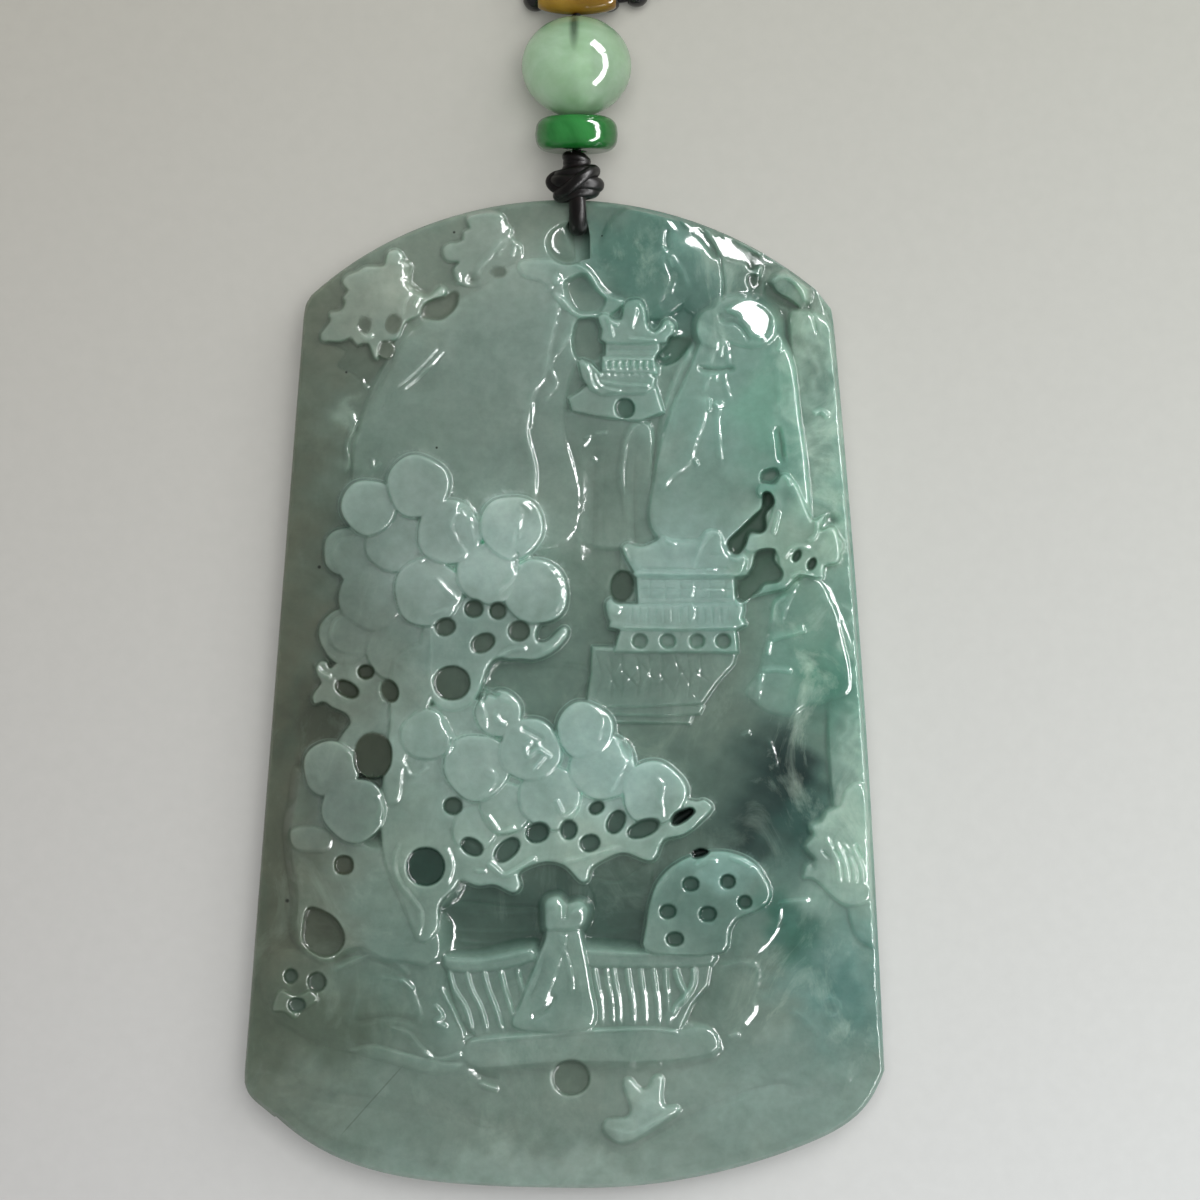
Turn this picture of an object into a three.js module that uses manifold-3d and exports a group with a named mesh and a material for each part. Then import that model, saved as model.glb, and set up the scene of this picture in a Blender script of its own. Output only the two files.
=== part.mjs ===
// A carved jadeite landscape plaque on its bead drop and neck cord, lying on its flat back.
// Millimetres, +Z up from the surface it lies on, +Y towards the cord end, +X to the right.
// The origin is the middle of the plaque's back, at the bottom centre of its box.
import * as THREE from 'three';
import { mergeVertices } from 'three/addons/utils/BufferGeometryUtils.js';
import Module from 'manifold-3d';

const wasm = await Module();
wasm.setup();

// ---------------------------------------------------------------- driving dimensions, mm
const UNIT = 0.0669;                 // one unit of the layout grid
const GRID_MID = [600, 600];         // the grid point that lies at MID
const MID = [2.425, 6.335];          // where that point is on the part
const PLAQUE = {
  spread: 1.0077,                    // the outline's grid is this much larger than the relief's
  topApex: [565, 200], topRadius: 395, topHalf: [258, 263],
  leftFoot: [244, 1080], rightFoot: [884.5, 1070], rightBow: 5,
  footApex: [585, 1188], footHalf: [341, 299.5], footDrop: [108, 118],
  footSweep: [0.25, 0.68], footCorner: [5, 18], // share of the foot's drop that is a parabola, and the power of its corners
  ground: 4.4,                       // height of the recessed ground over the back
  bevel: 0.55,
};
const LEVEL = { pit: 2.7, bed: 3.6, low: 5.4, hill: 6.4, high: 7.2, leaf: 8.0, top: 8.7 };
const LEAF_SIDES = 8;
const HOLE_SIDES = 6;
const BORE = { r: 0.95, bowl: 1.4, mouth: [0.95, 30.35, 4.75], exit: [0.84, 34.2, 2.3] };
const STACK = { x: 0.84, z: 3.75 };  // the line of the bead drop
const LOOP_D = 1.2;                  // the doubled cord through the plaque
const STRING_D = 0.8;                // the string inside the beads
const KNOT = { y: 34.25, z: 5.2, r: 1.35, turn: 1.25, small: [35.75, 0.9], smallZ: 4.5 };
const DISC = { y: 37.75, r: 2.76, t: 2.3, edge: 0.85, bore: 0.65 };
const ROUND = { y: 42.34, r: 3.71, ry: 3.4, bore: 0.65 };
const BARREL = { x: 0.87, y: 47.06, z: 3.5, r: 1.22, end: 0.8, length: 5.27, bore: 0.45, cross: 0.6 };
const HITCH = { y: 47.36, z: 1.22, r: 0.73, cord: 0.25 };
const BLACK = { r: 0.95, bore: 0.58, z: 0.96 };
const CORD_D = 0.8;                  // the neck cord, 620 mm in all
const COIL = { x: 1.9, y: 60.6, mid: 4.7, across: 5, layers: 4, pitch: 0.82 };

// ---------------------------------------------------------------- helpers
const at = (u, v, spread = 1) => [
  (u - GRID_MID[0]) * UNIT * spread + MID[0],
  (GRID_MID[1] - v) * UNIT * spread + MID[1],
];
const span = (n) => n * UNIT;

function solid(geometry) {
  const g = geometry.clone();
  for (const name of Object.keys(g.attributes)) if (name !== 'position') g.deleteAttribute(name);
  const m = mergeVertices(g, 1e-5);
  const p = m.attributes.position.array, faces = [];
  let volume = 0;
  for (let i = 0; i < m.index.count; i += 3) {
    const [a, b, c] = [0, 1, 2].map((k) => m.index.getX(i + k));
    if (a === b || b === c || c === a) continue; // the flat slivers at a pole
    const [A, B, C] = [a, b, c].map((k) => new THREE.Vector3(p[3 * k], p[3 * k + 1], p[3 * k + 2]));
    volume += A.dot(B.cross(C));
    faces.push([a, b, c]);
  }
  const out = volume < 0 ? faces.map(([a, b, c]) => [a, c, b]) : faces;
  return new wasm.Manifold(new wasm.Mesh({
    numProp: 3,
    vertProperties: new Float32Array(p),
    triVerts: new Uint32Array(out.flat()),
  }));
}
function geometryOf(manifold) {
  const mesh = manifold.getMesh();
  const g = new THREE.BufferGeometry();
  const p = mesh.vertProperties, n = mesh.numProp, out = new Float32Array((p.length / n) * 3);
  for (let i = 0; i < p.length / n; i++) for (let k = 0; k < 3; k++) out[3 * i + k] = p[n * i + k];
  g.setAttribute('position', new THREE.BufferAttribute(out, 3));
  g.setIndex(new THREE.BufferAttribute(new Uint32Array(mesh.triVerts), 1));
  g.computeVertexNormals();
  return g;
}
const join = (list) => list.reduce((a, b) => a.add(b));
const cut = (body, list) => list.reduce((a, b) => a.subtract(b), body);

// a closed outline through a few control points of the grid, as smooth as `rounds` asks
function outline(points, samples = 0, spread = 1) {
  let pts = points.map(([u, v]) => new THREE.Vector2(...at(u, v, spread)));
  if (samples) {
    const c = new THREE.CatmullRomCurve3(pts.map((p) => new THREE.Vector3(p.x, p.y, 0)), true, 'centripetal');
    pts = c.getSpacedPoints(samples).slice(0, samples).map((p) => new THREE.Vector2(p.x, p.y));
  }
  return new THREE.Shape(pts);
}
// an extruded block from z0 to z1 with its edge eased by `ease`, or by less where the outline is too fine for it
function block(shape, z0, z1, ease = 0.25, rings = 1) {
  for (const e of ease ? [ease, ease / 2, ease / 4] : []) {
    const g = new THREE.ExtrudeGeometry(shape, {
      depth: z1 - z0 - 2 * e, steps: 1, curveSegments: 6,
      bevelEnabled: true, bevelThickness: e, bevelSize: e, bevelOffset: -e, bevelSegments: rings,
    });
    g.translate(0, 0, z0 + e);
    try { return solid(g); } catch { /* a smaller easing follows */ }
  }
  const g = new THREE.ExtrudeGeometry(shape, { depth: z1 - z0, steps: 1, bevelEnabled: false });
  g.translate(0, 0, z0);
  return solid(g);
}
// an upright round body from a profile of [radius, z] pairs
function turned(profile, sides) {
  const g = new THREE.LatheGeometry(profile.map(([r, z]) => new THREE.Vector2(r, z)), sides);
  g.rotateX(Math.PI / 2);
  return g;
}
// a rounded leaf pad, the round cushion of foliage of the carved trees
function leafPad(u, v, r, top = LEVEL.leaf, from = LEVEL.bed) {
  const R = span(r), e = Math.min(0.45, R * 0.35);
  const g = turned([[0, from], [R, from], [R, top - e], [R - e, top], [0, top]], LEAF_SIDES);
  const [x, y] = at(u, v);
  g.translate(x, y, 0);
  return solid(g);
}
// a low dome on an oval foot
function dome(u, v, ru, rv, z1, turn = 0, z0 = LEVEL.bed) {
  const g = new THREE.SphereGeometry(1, 10, 4);
  g.rotateX(Math.PI / 2);
  g.scale(span(ru), span(rv), z1 - z0);
  g.rotateZ(turn);
  const [x, y] = at(u, v);
  g.translate(x, y, z0);
  return solid(g);
}
// a drilled hollow, straight down to `floor`
function drill(u, v, ru, rv = ru, turn = 0, floor = LEVEL.pit) {
  const g = new THREE.CylinderGeometry(1.05, 0.95, 10 - floor, HOLE_SIDES + (ru > 14 ? 3 : ru < 8.6 ? -1 : 0));
  g.rotateX(Math.PI / 2);
  g.scale(span(ru), span(rv), 1);
  g.rotateZ(turn);
  const [x, y] = at(u, v);
  g.translate(x, y, floor + (10 - floor) / 2);
  return solid(g);
}
// a bar between two grid points, `wide` units across
function bar(a, b, wide, z0, z1, ease = 0) {
  const dx = b[0] - a[0], dy = b[1] - a[1], l = Math.hypot(dx, dy);
  const nx = (-dy / l) * (wide / 2), ny = (dx / l) * (wide / 2);
  return block(outline([[a[0] + nx, a[1] + ny], [b[0] + nx, b[1] + ny], [b[0] - nx, b[1] - ny], [a[0] - nx, a[1] - ny]].reverse()), z0, z1, ease);
}
// a level course of masonry or timber between two heights of the grid
function course(u0, u1, v0, v1, z0, z1, flare = 0) {
  return block(outline([[u0 + flare, v0], [u1 - flare, v0], [u1, v1], [u0, v1]]), z0, z1, 0);
}
// a tiled roof with its eaves turned up at both ends
function roof(u0, u1, ridge0, ridge1, vRidge, vEave, lift, z0, z1) {
  const pts = [[u0, vEave - lift], [u0 + 8, vEave], [u1 - 8, vEave], [u1, vEave - lift], [u1 - 4, vEave - lift - 5],
    [ridge1 + 6, vRidge + (vEave - vRidge) * 0.55], [ridge1, vRidge], [ridge0, vRidge],
    [ridge0 - 6, vRidge + (vEave - vRidge) * 0.55], [u0 + 4, vEave - lift - 5]];
  return block(outline(pts), z0, z1, 0.2);
}
// a round-section tube along a curve
function tube(points, d, steps, sides = 8, closed = false, smooth = true) {
  const section = new THREE.Shape(Array.from({ length: sides }, (_, i) => {
    const a = (2 * Math.PI * i) / sides;
    return new THREE.Vector2((d / 2) * Math.cos(a), (d / 2) * Math.sin(a));
  }));
  const vs = points.map((p) => new THREE.Vector3(...p));
  const path = new THREE.CatmullRomCurve3(vs, closed, smooth ? 'centripetal' : 'chordal');
  return new THREE.ExtrudeGeometry(section, { steps, bevelEnabled: false, extrudePath: path });
}
const material = (color, roughness, transparent = 1) => new THREE.MeshStandardMaterial({
  color, roughness, metalness: 0, opacity: transparent, transparent: transparent < 1,
});
const part = new THREE.Group();
function piece(name, geometry, mat, position = [0, 0, 0], rotationZ = 0) {
  const m = new THREE.Mesh(geometry, mat);
  m.name = name;
  m.position.set(...position);
  m.rotation.z = rotationZ;
  part.add(m);
  return m;
}

// ---------------------------------------------------------------- the plaque's outline
function plaqueOutline() {
  const P = PLAQUE, pts = [];
  const [ax, ay] = P.topApex, R = P.topRadius;
  const topDrop = (d) => R - Math.sqrt(R * R - d * d);
  const left = [ax - P.topHalf[0], ay + topDrop(P.topHalf[0])];
  const right = [ax + P.topHalf[1], ay + topDrop(P.topHalf[1])];
  for (let i = -6; i <= 6; i++) {
    const d = (i / 6) * (i < 0 ? P.topHalf[0] : P.topHalf[1]) * 0.985;
    pts.push([ax + d, ay + topDrop(Math.abs(d))]);
  }
  for (let i = 1; i <= 4; i++) {
    const t = i / 5 + 0.01;
    pts.push([right[0] + 5 + (P.rightFoot[0] - right[0] - 5) * t + P.rightBow * Math.sin(Math.PI * t), right[1] + 14 + (P.rightFoot[1] - right[1] - 14) * t]);
  }
  const [bx, by] = P.footApex;
  for (let i = 6; i >= -6; i--) {
    const k = i < 0 ? 0 : 1, t = Math.sin((Math.abs(i) / 6) * (Math.PI / 2));
    const drop = P.footSweep[k] * t * t + (1 - P.footSweep[k]) * Math.pow(t, P.footCorner[k]);
    pts.push([bx + (i < 0 ? -1 : 1) * P.footHalf[k] * t, by - P.footDrop[k] * drop]);
  }
  for (let i = 4; i >= 1; i--) {
    const t = i / 5 + 0.01;
    pts.push([left[0] - 3 + (P.leftFoot[0] - left[0] + 3) * t, left[1] + 16 + (P.leftFoot[1] - left[1] - 16) * t]);
  }
  return pts;
}
const rim = plaqueOutline();
const slab = block(outline(rim, 0, PLAQUE.spread), 0, PLAQUE.ground, PLAQUE.bevel);

// ---------------------------------------------------------------- relief, from the ground up
const L = LEVEL;
const raised = [];
// hills, mountains and the rocky right side
raised.push(
  block(outline([[562, 262], [500, 284], [455, 305], [418, 345], [392, 390], [374, 445], [378, 500], [440, 530], [530, 520], [534, 460], [527, 428], [546, 372], [556, 310]], 12), L.bed, L.hill, 0.7),
  block(outline([[563, 262], [596, 276], [612, 300], [650, 320], [690, 350], [700, 420], [660, 540], [560, 640], [548, 500], [542, 430], [556, 380], [560, 320]], 11), L.bed, L.low, 0.5),
  dome(650, 264, 50, 62, 6.6),
  dome(700, 262, 34, 50, 6.0, -0.3),
  dome(785, 315, 34, 46, 6.2, -0.2),
  block(outline([[748, 298], [775, 314], [793, 358], [803, 410], [812, 470], [800, 560], [740, 590], [668, 530], [656, 470], [668, 400], [696, 330], [720, 308]], 12), L.bed, L.high, 0.75),
  block(outline([[812, 352], [838, 372], [846, 470], [852, 560], [862, 660], [868, 760], [872, 880], [860, 900], [820, 820], [800, 700], [806, 560], [800, 440]], 12), L.bed, 6.0, 0.5),
  block(outline([[800, 576], [822, 580], [836, 610], [852, 648], [850, 700], [836, 750], [800, 780], [758, 740], [746, 690], [762, 640], [774, 598]], 11), L.bed, 7.0, 0.6),
  block(outline([[700, 712], [740, 722], [790, 760], [800, 830], [760, 880], [735, 850], [690, 800], [690, 740]], 9), L.bed, 5.2, 0.3),
  // lower left bank and rocks
  block(outline([[262, 960], [300, 948], [350, 962], [385, 940], [418, 960], [432, 1000], [440, 1040], [400, 1090], [330, 1120], [290, 1090], [258, 1060]], 10), L.bed, 6.2, 0.5),
  dome(402, 1000, 36, 34, 6.9, 0.2),
  // the foot of the scene and the lower right rocks
  block(outline([[300, 1110], [360, 1092], [450, 1110], [480, 1078], [520, 1102], [600, 1090], [690, 1056], [740, 1040], [800, 1020], [866, 1036], [872, 1080], [800, 1130], [700, 1164], [580, 1174], [450, 1166], [350, 1146]], 16), L.bed, 6.0, 0.6),
  block(outline([[742, 930], [790, 902], [820, 918], [850, 930], [866, 980], [872, 1040], [800, 1060], [716, 1050], [712, 990], [722, 950]], 9), L.bed, 6.6, 0.5),
  dome(796, 930, 34, 34, 7.4, 0.3), dome(776, 1022, 44, 28, 7.0, 0.1), dome(832, 1010, 26, 30, 6.9),
  dome(520, 1124, 40, 24, 6.5),
);
// leaf clumps of the top left corner: lobes round a heart-shaped middle
const clump = (cu, cv, ru, rv, lobes, r, top) => [
  dome(cu, cv, ru, rv, top + 0.2),
  ...Array.from({ length: lobes }, (_, i) => {
    const a = Math.PI * (0.55 + (1.15 * i) / (lobes - 1));
    return leafPad(cu + ru * 0.82 * Math.cos(a), cv - rv * 0.82 * Math.sin(a), r, top);
  }),
];
raised.push(...clump(384, 306, 44, 46, 5, 14, 6.6), ...clump(484, 248, 34, 32, 3, 14, 6.5));
raised.push(bar([344, 334], [450, 288], 16, L.bed, 6.3));
// the trees: round pads of foliage, [u, v, radius, height over leaf level]
const canopy = [
  [418, 486, 29, 0.5], [369, 507, 25, 0], [396, 541, 29, -0.3], [449, 532, 30, 0.3], [512, 527, 29, 0.5], [347, 552, 22, -0.9],
  [371, 598, 30, -0.3], [428, 592, 32, 0.1], [488, 573, 29, 0], [536, 592, 30, 0.4], [347, 635, 26, -0.8], [401, 649, 32, -0.2],
  [331, 769, 26, 0], [354, 810, 30, -0.2], [426, 735, 23, 0.2], [499, 713, 20, 0.3], [477, 767, 31, 0.3], [530, 750, 29, 0.5],
  [585, 730, 26, 0.6], [603, 767, 30, 0.2], [654, 793, 29, 0.4], [550, 798, 29, 0.2], [506, 808, 23, -0.4], [474, 827, 20, -0.3],
];
for (const [u, v, r, h] of canopy) raised.push(leafPad(u, v, r, L.leaf + h));
// the openwork of twigs under the foliage: plates that the drilled hollows go through
raised.push(
  block(outline([[440, 590], [560, 598], [566, 630], [532, 656], [496, 664], [482, 720], [430, 712], [380, 800], [340, 740], [316, 700], [334, 654], [400, 640]]), L.bed, 7.0, 0.3),
  block(outline([[400, 720], [470, 700], [500, 760], [640, 780], [712, 800], [690, 838], [652, 846], [620, 836], [588, 866], [556, 852], [520, 876], [468, 868], [440, 900], [396, 880], [380, 800]]), L.bed, 6.9, 0.3),
  block(outline([[284, 790], [320, 790], [384, 800], [400, 880], [440, 930], [420, 962], [330, 948], [282, 900]], 9), L.bed, 6.3, 0.4),
  bar([528, 652], [566, 630], 13, L.bed, 7.3), bar([304, 702], [345, 690], 12, L.bed, 6.6),
  bar([776, 500], [772, 560], 14, L.bed, 6.8),
  dome(812, 545, 26, 28, 7.2), dome(824, 846, 22, 26, 7.0), dome(852, 868, 22, 30, 6.6),
);
// upper pavilion on its fluted cliff
raised.push(
  block(outline([[563, 420], [572, 411], [644, 418], [650, 440], [642, 545], [562, 545]]), L.bed, 6.4, 0),
  ...[576, 604, 632].map((u) => bar([u, 424], [u, 540], 16, L.bed, 6.9, 0)),
  course(585, 654, 392, 420, L.bed, 7.0), roof(578, 661, 604, 640, 360, 392, 14, L.bed, 7.7),
  course(607, 659, 340, 362, L.bed, 7.2), roof(596, 677, 624, 646, 312, 342, 14, L.bed, 7.9),
  dome(635, 314, 12, 17, 7.9),
);
// middle pavilion on its stone base
raised.push(
  course(586, 704, 645, 706, L.bed, 6.9, 2), course(592, 700, 706, 722, L.bed, 6.1),
  course(616, 738, 624, 658, L.bed, 7.0), roof(606, 742, 640, 730, 600, 625, 10, L.bed, 7.7),
  course(636, 734, 574, 602, L.bed, 7.1), roof(622, 745, 658, 722, 534, 576, 18, L.bed, 8.0),
  dome(713, 548, 12, 20, 8.2),
);
// the pierced garden rock: an arch-headed screen
raised.push(block(outline([[644, 951], [649, 900], [660, 880], [690, 858], [717, 851], [749, 860], [770, 885], [752, 905], [730, 930], [716, 952]], 10), L.bed, 7.3, 0.35));
// the footbridge
raised.push(
  bar([444, 958], [532, 957], 15, L.bed, 7.2), bar([584, 957], [710, 957], 15, L.bed, 7.2),
  block(outline([[456, 1050], [500, 1040], [560, 1036], [620, 1036], [690, 1038], [706, 1024], [712, 1050], [640, 1056], [560, 1056], [480, 1066]]), L.bed, 6.6, 0.25),
  ...Array.from({ length: 5 }, (_, i) => bar([613 + i * 19.5, 962], [611 + i * 19.5, 1030], 8, L.bed, 6.5)),
  ...Array.from({ length: 3 }, (_, i) => bar([458 + i * 24, 962], [466 + i * 23, 1036], 8, L.bed, 6.3)),
);
// the robed walker on the bridge
const [fx, fy] = at(556, 1028);
const robe = turned([[0, 0], [span(41), 0], [span(37), span(34)], [span(20), span(84)], [span(15), span(98)], [span(6), span(103)], [span(12), span(114)], [0, span(128)]], 10);
robe.rotateX(-Math.PI / 2);
robe.scale(1, 1, 0.8);
robe.translate(fx, fy, 5.6);
const hair = new THREE.SphereGeometry(span(11), 7, 5);
hair.scale(1, 1, 1.8);
hair.translate(fx + span(22), fy + span(114), 5.4);
raised.push(solid(robe), solid(hair));
// the little boat-like ornament of the foot
raised.push(dome(648, 1098, 16, 18, 6.7), bar([612, 1140], [682, 1106], 9, L.bed, 6.4));

// ---------------------------------------------------------------- hollows
const hollow = (z, shape, samples = 16) => {
  const g = new THREE.ExtrudeGeometry(outline(shape, samples), { depth: 12 - z, bevelEnabled: false });
  g.translate(0, 0, z);
  return solid(g);
};
const hollows = [
  // small drilled eyes of the foliage, twigs and screen, [u, v, radius, other radius, turn]
  ...[[365.5, 325, 8], [393, 324, 9], [386, 348, 9], [499, 272, 8], [474, 609, 9], [497, 611, 8.5], [445.5, 627, 11], [482, 642, 12.5, 10, 0.4],
    [519, 630, 11], [452, 683, 18.5], [365, 672, 9], [347, 690, 12, 8, -0.4], [389, 691, 10, 13], [373, 755, 19, 24], [344, 865, 9.6], [425.5, 866, 19],
    [293.5, 977, 8], [316, 981, 9], [453, 805, 9], [473, 847, 11], [507, 849, 11, 15, -0.4], [537.5, 833, 11], [569, 830, 8], [590, 844, 10],
    [597, 808, 9], [616, 820, 10, 14, -0.6], [642, 828, 15, 9], [691, 883, 8], [727, 881, 7.5], [746, 900, 7], [668, 910, 8], [708, 914, 8.5],
    [675, 938, 8.5], [640, 641, 8], [668, 641, 8], [697, 641, 8], [723.5, 641, 8], [625, 409, 9], [320, 932, 16, 20]].map((h) => drill(...h)),
  // undercut hollows
  hollow(3.0, [[424, 318], [430, 300], [452, 290], [458, 300], [444, 316]], 9),
  hollow(2.9, [[660, 360], [668, 342], [684, 334], [694, 340], [680, 358], [668, 366]], 9),
  hollow(3.3, [[736, 590], [752, 578], [756, 552], [776, 550], [780, 576], [764, 600], [742, 606]], 10),
  hollow(3.2, [[764, 494], [773, 500], [766, 530], [752, 534], [736, 556], [728, 540], [744, 520]], 9),
  hollow(3.3, [[452, 884], [500, 896], [546, 894], [552, 948], [512, 946], [452, 950]], 10),
  hollow(3.3, [[594, 872], [640, 856], [650, 880], [644, 946], [596, 946], [588, 900]], 10),
  hollow(3.5, [[494, 664], [560, 660], [584, 690], [566, 716], [520, 712], [490, 684]], 10),
];
// the shallow round dimple of the foot
const dimple = new THREE.SphereGeometry(2.2, 12, 7);
dimple.translate(...at(571, 1077), 7.55);
hollows.push(solid(dimple));
// the hanging hole: a bowl on the front, and a bore that runs up and out at the top edge
const boreDir = new THREE.Vector3(...BORE.exit).sub(new THREE.Vector3(...BORE.mouth));
const boreG = new THREE.CylinderGeometry(BORE.r, BORE.r, boreDir.length() + 2.6, 10);
boreG.applyQuaternion(new THREE.Quaternion().setFromUnitVectors(new THREE.Vector3(0, 1, 0), boreDir.clone().normalize()));
boreG.translate(...new THREE.Vector3(...BORE.mouth).addScaledVector(boreDir, 0.5).toArray());
const bowl = new THREE.SphereGeometry(BORE.bowl, 12, 6);
bowl.translate(BORE.mouth[0] - 0.35, BORE.mouth[1] - 0.1, BORE.mouth[2] + 0.55);
hollows.push(solid(boreG), solid(bowl));

// the relief stays inside the outline: it is trimmed by the slab's own plan
const plan = block(outline(rim, 0, PLAQUE.spread * 0.993), 0.2, 9.6, 0);
const plaque = cut(slab.add(join(raised).intersect(plan)), hollows);
piece('jade_plaque', geometryOf(plaque), material('#8fb3a6', 0.15));

// ---------------------------------------------------------------- the drop: knots, cord and beads
const X = STACK.x, Z = STACK.z;
const front = tube([
  [X, KNOT.y, KNOT.z + 0.5], [0.9, 33.1, 5.75], [0.94, 32.0, 5.75], [0.96, 31.1, 5.5], [0.97, 30.5, 4.9], [0.96, 30.75, 4.25], [0.92, 31.8, 3.75], [0.86, 33.2, 2.95], [0.85, 33.9, 3.2], [X, KNOT.y + 0.1, KNOT.z - 0.6],
], LOOP_D * 0.8, 12, 6);
const core = new THREE.SphereGeometry(1, 8, 5);
core.scale(KNOT.r * 1.15, KNOT.r * 0.85, KNOT.r);
core.translate(X, KNOT.y, KNOT.z);
const wraps = [-0.55, 0.45].map((tilt, i) => {
  const g = new THREE.TorusGeometry(KNOT.turn * (i ? 0.95 : 1), 0.5, 5, 8);
  g.rotateX(Math.PI / 2);
  g.rotateZ(tilt);
  g.translate(X, KNOT.y + (i ? 0.25 : -0.1), KNOT.z);
  return solid(g);
});
const small = new THREE.SphereGeometry(KNOT.small[1], 8, 6);
small.translate(X, KNOT.small[0], KNOT.smallZ);
const string = tube([
  [X, KNOT.y + 0.4, KNOT.z - 0.2], [X, KNOT.small[0], KNOT.smallZ], [X, DISC.y - 1.0, Z], [X, DISC.y + 1, Z], [X, ROUND.y, Z], [X, 45.2, Z], [X, 46.0, 3.6], [X, BARREL.y, BARREL.z],
  [X, 48.2, 3.45], [X, 48.62, 2.8], [X, 48.5, 2.0], [X, HITCH.y + HITCH.r, HITCH.z],
], STRING_D * 0.75, 12, 6);
const hitch = new THREE.TorusGeometry(HITCH.r, HITCH.cord, 5, 8);
hitch.rotateY(Math.PI / 2);
hitch.translate(X, HITCH.y, HITCH.z);
piece('drop_cord', geometryOf(join([solid(front), solid(core), ...wraps, solid(small), solid(string), solid(hitch)])), material('#231a14', 0.6));

// a bead turned about its hole, which lies along +Y
function bead(profile, sides = 16) {
  const loop = [...profile, profile[0]];
  const g = new THREE.LatheGeometry(loop.map(([r, y]) => new THREE.Vector2(r, y)), sides);
  return geometryOf(solid(g));
}
const arc = (n, f) => Array.from({ length: n }, (_, i) => f(i / (n - 1)));
const discProfile = [
  [DISC.bore, -DISC.t / 2], ...arc(3, (t) => { const a = -Math.PI / 2 + t * Math.PI / 2; return [DISC.r - DISC.edge + DISC.edge * Math.cos(a), -DISC.t / 2 + DISC.edge + DISC.edge * Math.sin(a)]; }),
  ...arc(3, (t) => { const a = t * Math.PI / 2; return [DISC.r - DISC.edge + DISC.edge * Math.cos(a), DISC.t / 2 - DISC.edge + DISC.edge * Math.sin(a)]; }), [DISC.bore, DISC.t / 2],
];
piece('disc_bead', bead(discProfile), material('#1f8a3a', 0.1), [X, DISC.y, Z]);
const ovalProfile = (r, ry, bore, n) => {
  const a0 = Math.asin(bore / r);
  return arc(n, (t) => { const a = -Math.PI / 2 + a0 + t * (Math.PI - 2 * a0); return [r * Math.cos(a), ry * Math.sin(a)]; });
};
piece('round_bead', bead(ovalProfile(ROUND.r, ROUND.ry, ROUND.bore, 9)), material('#a9c4ac', 0.08, 0.8), [X, ROUND.y, Z]);
// the barrel's own hole runs along X, and the string crosses it through a second one
const barrelProfile = [[BARREL.bore, -BARREL.length / 2], ...arc(5, (t) => {
  const s = 2 * t - 1;
  return [BARREL.end + (BARREL.r - BARREL.end) * (1 - s * s), (s * BARREL.length) / 2];
}), [BARREL.bore, BARREL.length / 2]];
const barrelG = bead(barrelProfile, 14);
barrelG.rotateZ(Math.PI / 2);
const cross = new THREE.CylinderGeometry(BARREL.cross, BARREL.cross, 4 * BARREL.r, 8);
cross.translate(X - BARREL.x, 0, 0);
piece('barrel_bead', geometryOf(solid(barrelG).subtract(solid(cross))), material('#6b4a1a', 0.12), [BARREL.x, BARREL.y, BARREL.z]);

// ---------------------------------------------------------------- neck cord: black beads, two loose runs, the coil
const STRAND_Y = HITCH.y;
const strand = {
  right: { beads: [[3.0, 47.36], [4.88, 47.7], [6.5, 48.72]], run: [[7.55, 50.3], [8.2, 52.3], [8.45, 54.6], [8.5, 56.8]] },
  left: { beads: [[-1.94, 47.4], [-3.3, 48.76], [-4.28, 50.42]], run: [[-4.82, 52.28], [-4.95, 54.2], [-4.85, 56.6]] },
};
const coilOuter = COIL.mid + (COIL.across * COIL.pitch) / 2, coilInner = COIL.mid - (COIL.across * COIL.pitch) / 2;
for (const [side, s] of Object.entries(strand)) {
  const sign = side === 'right' ? 1 : -1;
  const pts = [
    [X + sign * 0.12, STRAND_Y, HITCH.z], [X + sign * 0.9, STRAND_Y, HITCH.z - 0.1],
    ...s.beads.map(([x, y]) => [x, y, BLACK.z]),
    ...s.run.map(([x, y]) => [x, y, CORD_D / 2 + 0.06]),
  ];
  piece(`neck_cord_${side}`, geometryOf(solid(tube(pts, CORD_D, 12))), material('#241a15', 0.7));
  s.beads.forEach(([x, y], i) => {
    const a = i ? s.beads[i - 1] : [X, STRAND_Y], b = s.beads[i + 1] ?? s.run[0];
    const turn = Math.atan2(b[1] - a[1], b[0] - a[0]) - Math.PI / 2;
    piece(`black_bead_${side}_${i + 1}`, bead(ovalProfile(BLACK.r, BLACK.r * 0.97, BLACK.bore, 5), 10), material('#0b0a0c', 0.1), [x, y, BLACK.z], turn);
  });
}
const coilH = COIL.layers * COIL.pitch, ease = 0.5;
const ring = [[coilInner + ease, 0], [coilOuter - ease, 0], [coilOuter, ease], [coilOuter, coilH - ease], [coilOuter - ease, coilH], [coilInner + ease, coilH], [coilInner, coilH - ease], [coilInner, ease]];
const coilG = turned([...ring, ring[0]], 16);
coilG.translate(COIL.x, COIL.y, 0);
piece('neck_cord_coil', geometryOf(solid(coilG)), material('#241a15', 0.7));

export default part;
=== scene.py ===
"""Carved jadeite landscape plaque on its knotted drop of beads, lying on a pale floor.

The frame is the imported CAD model, in metres: +Z up out of the carved face, +Y towards the hanging
hole and the beads. The plaque's face is one height field carved by named features (pads of leaves,
pavilions, rocks, drilled hollows), the beads are turned, and the cords are swept strings.
"""

import math

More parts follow.
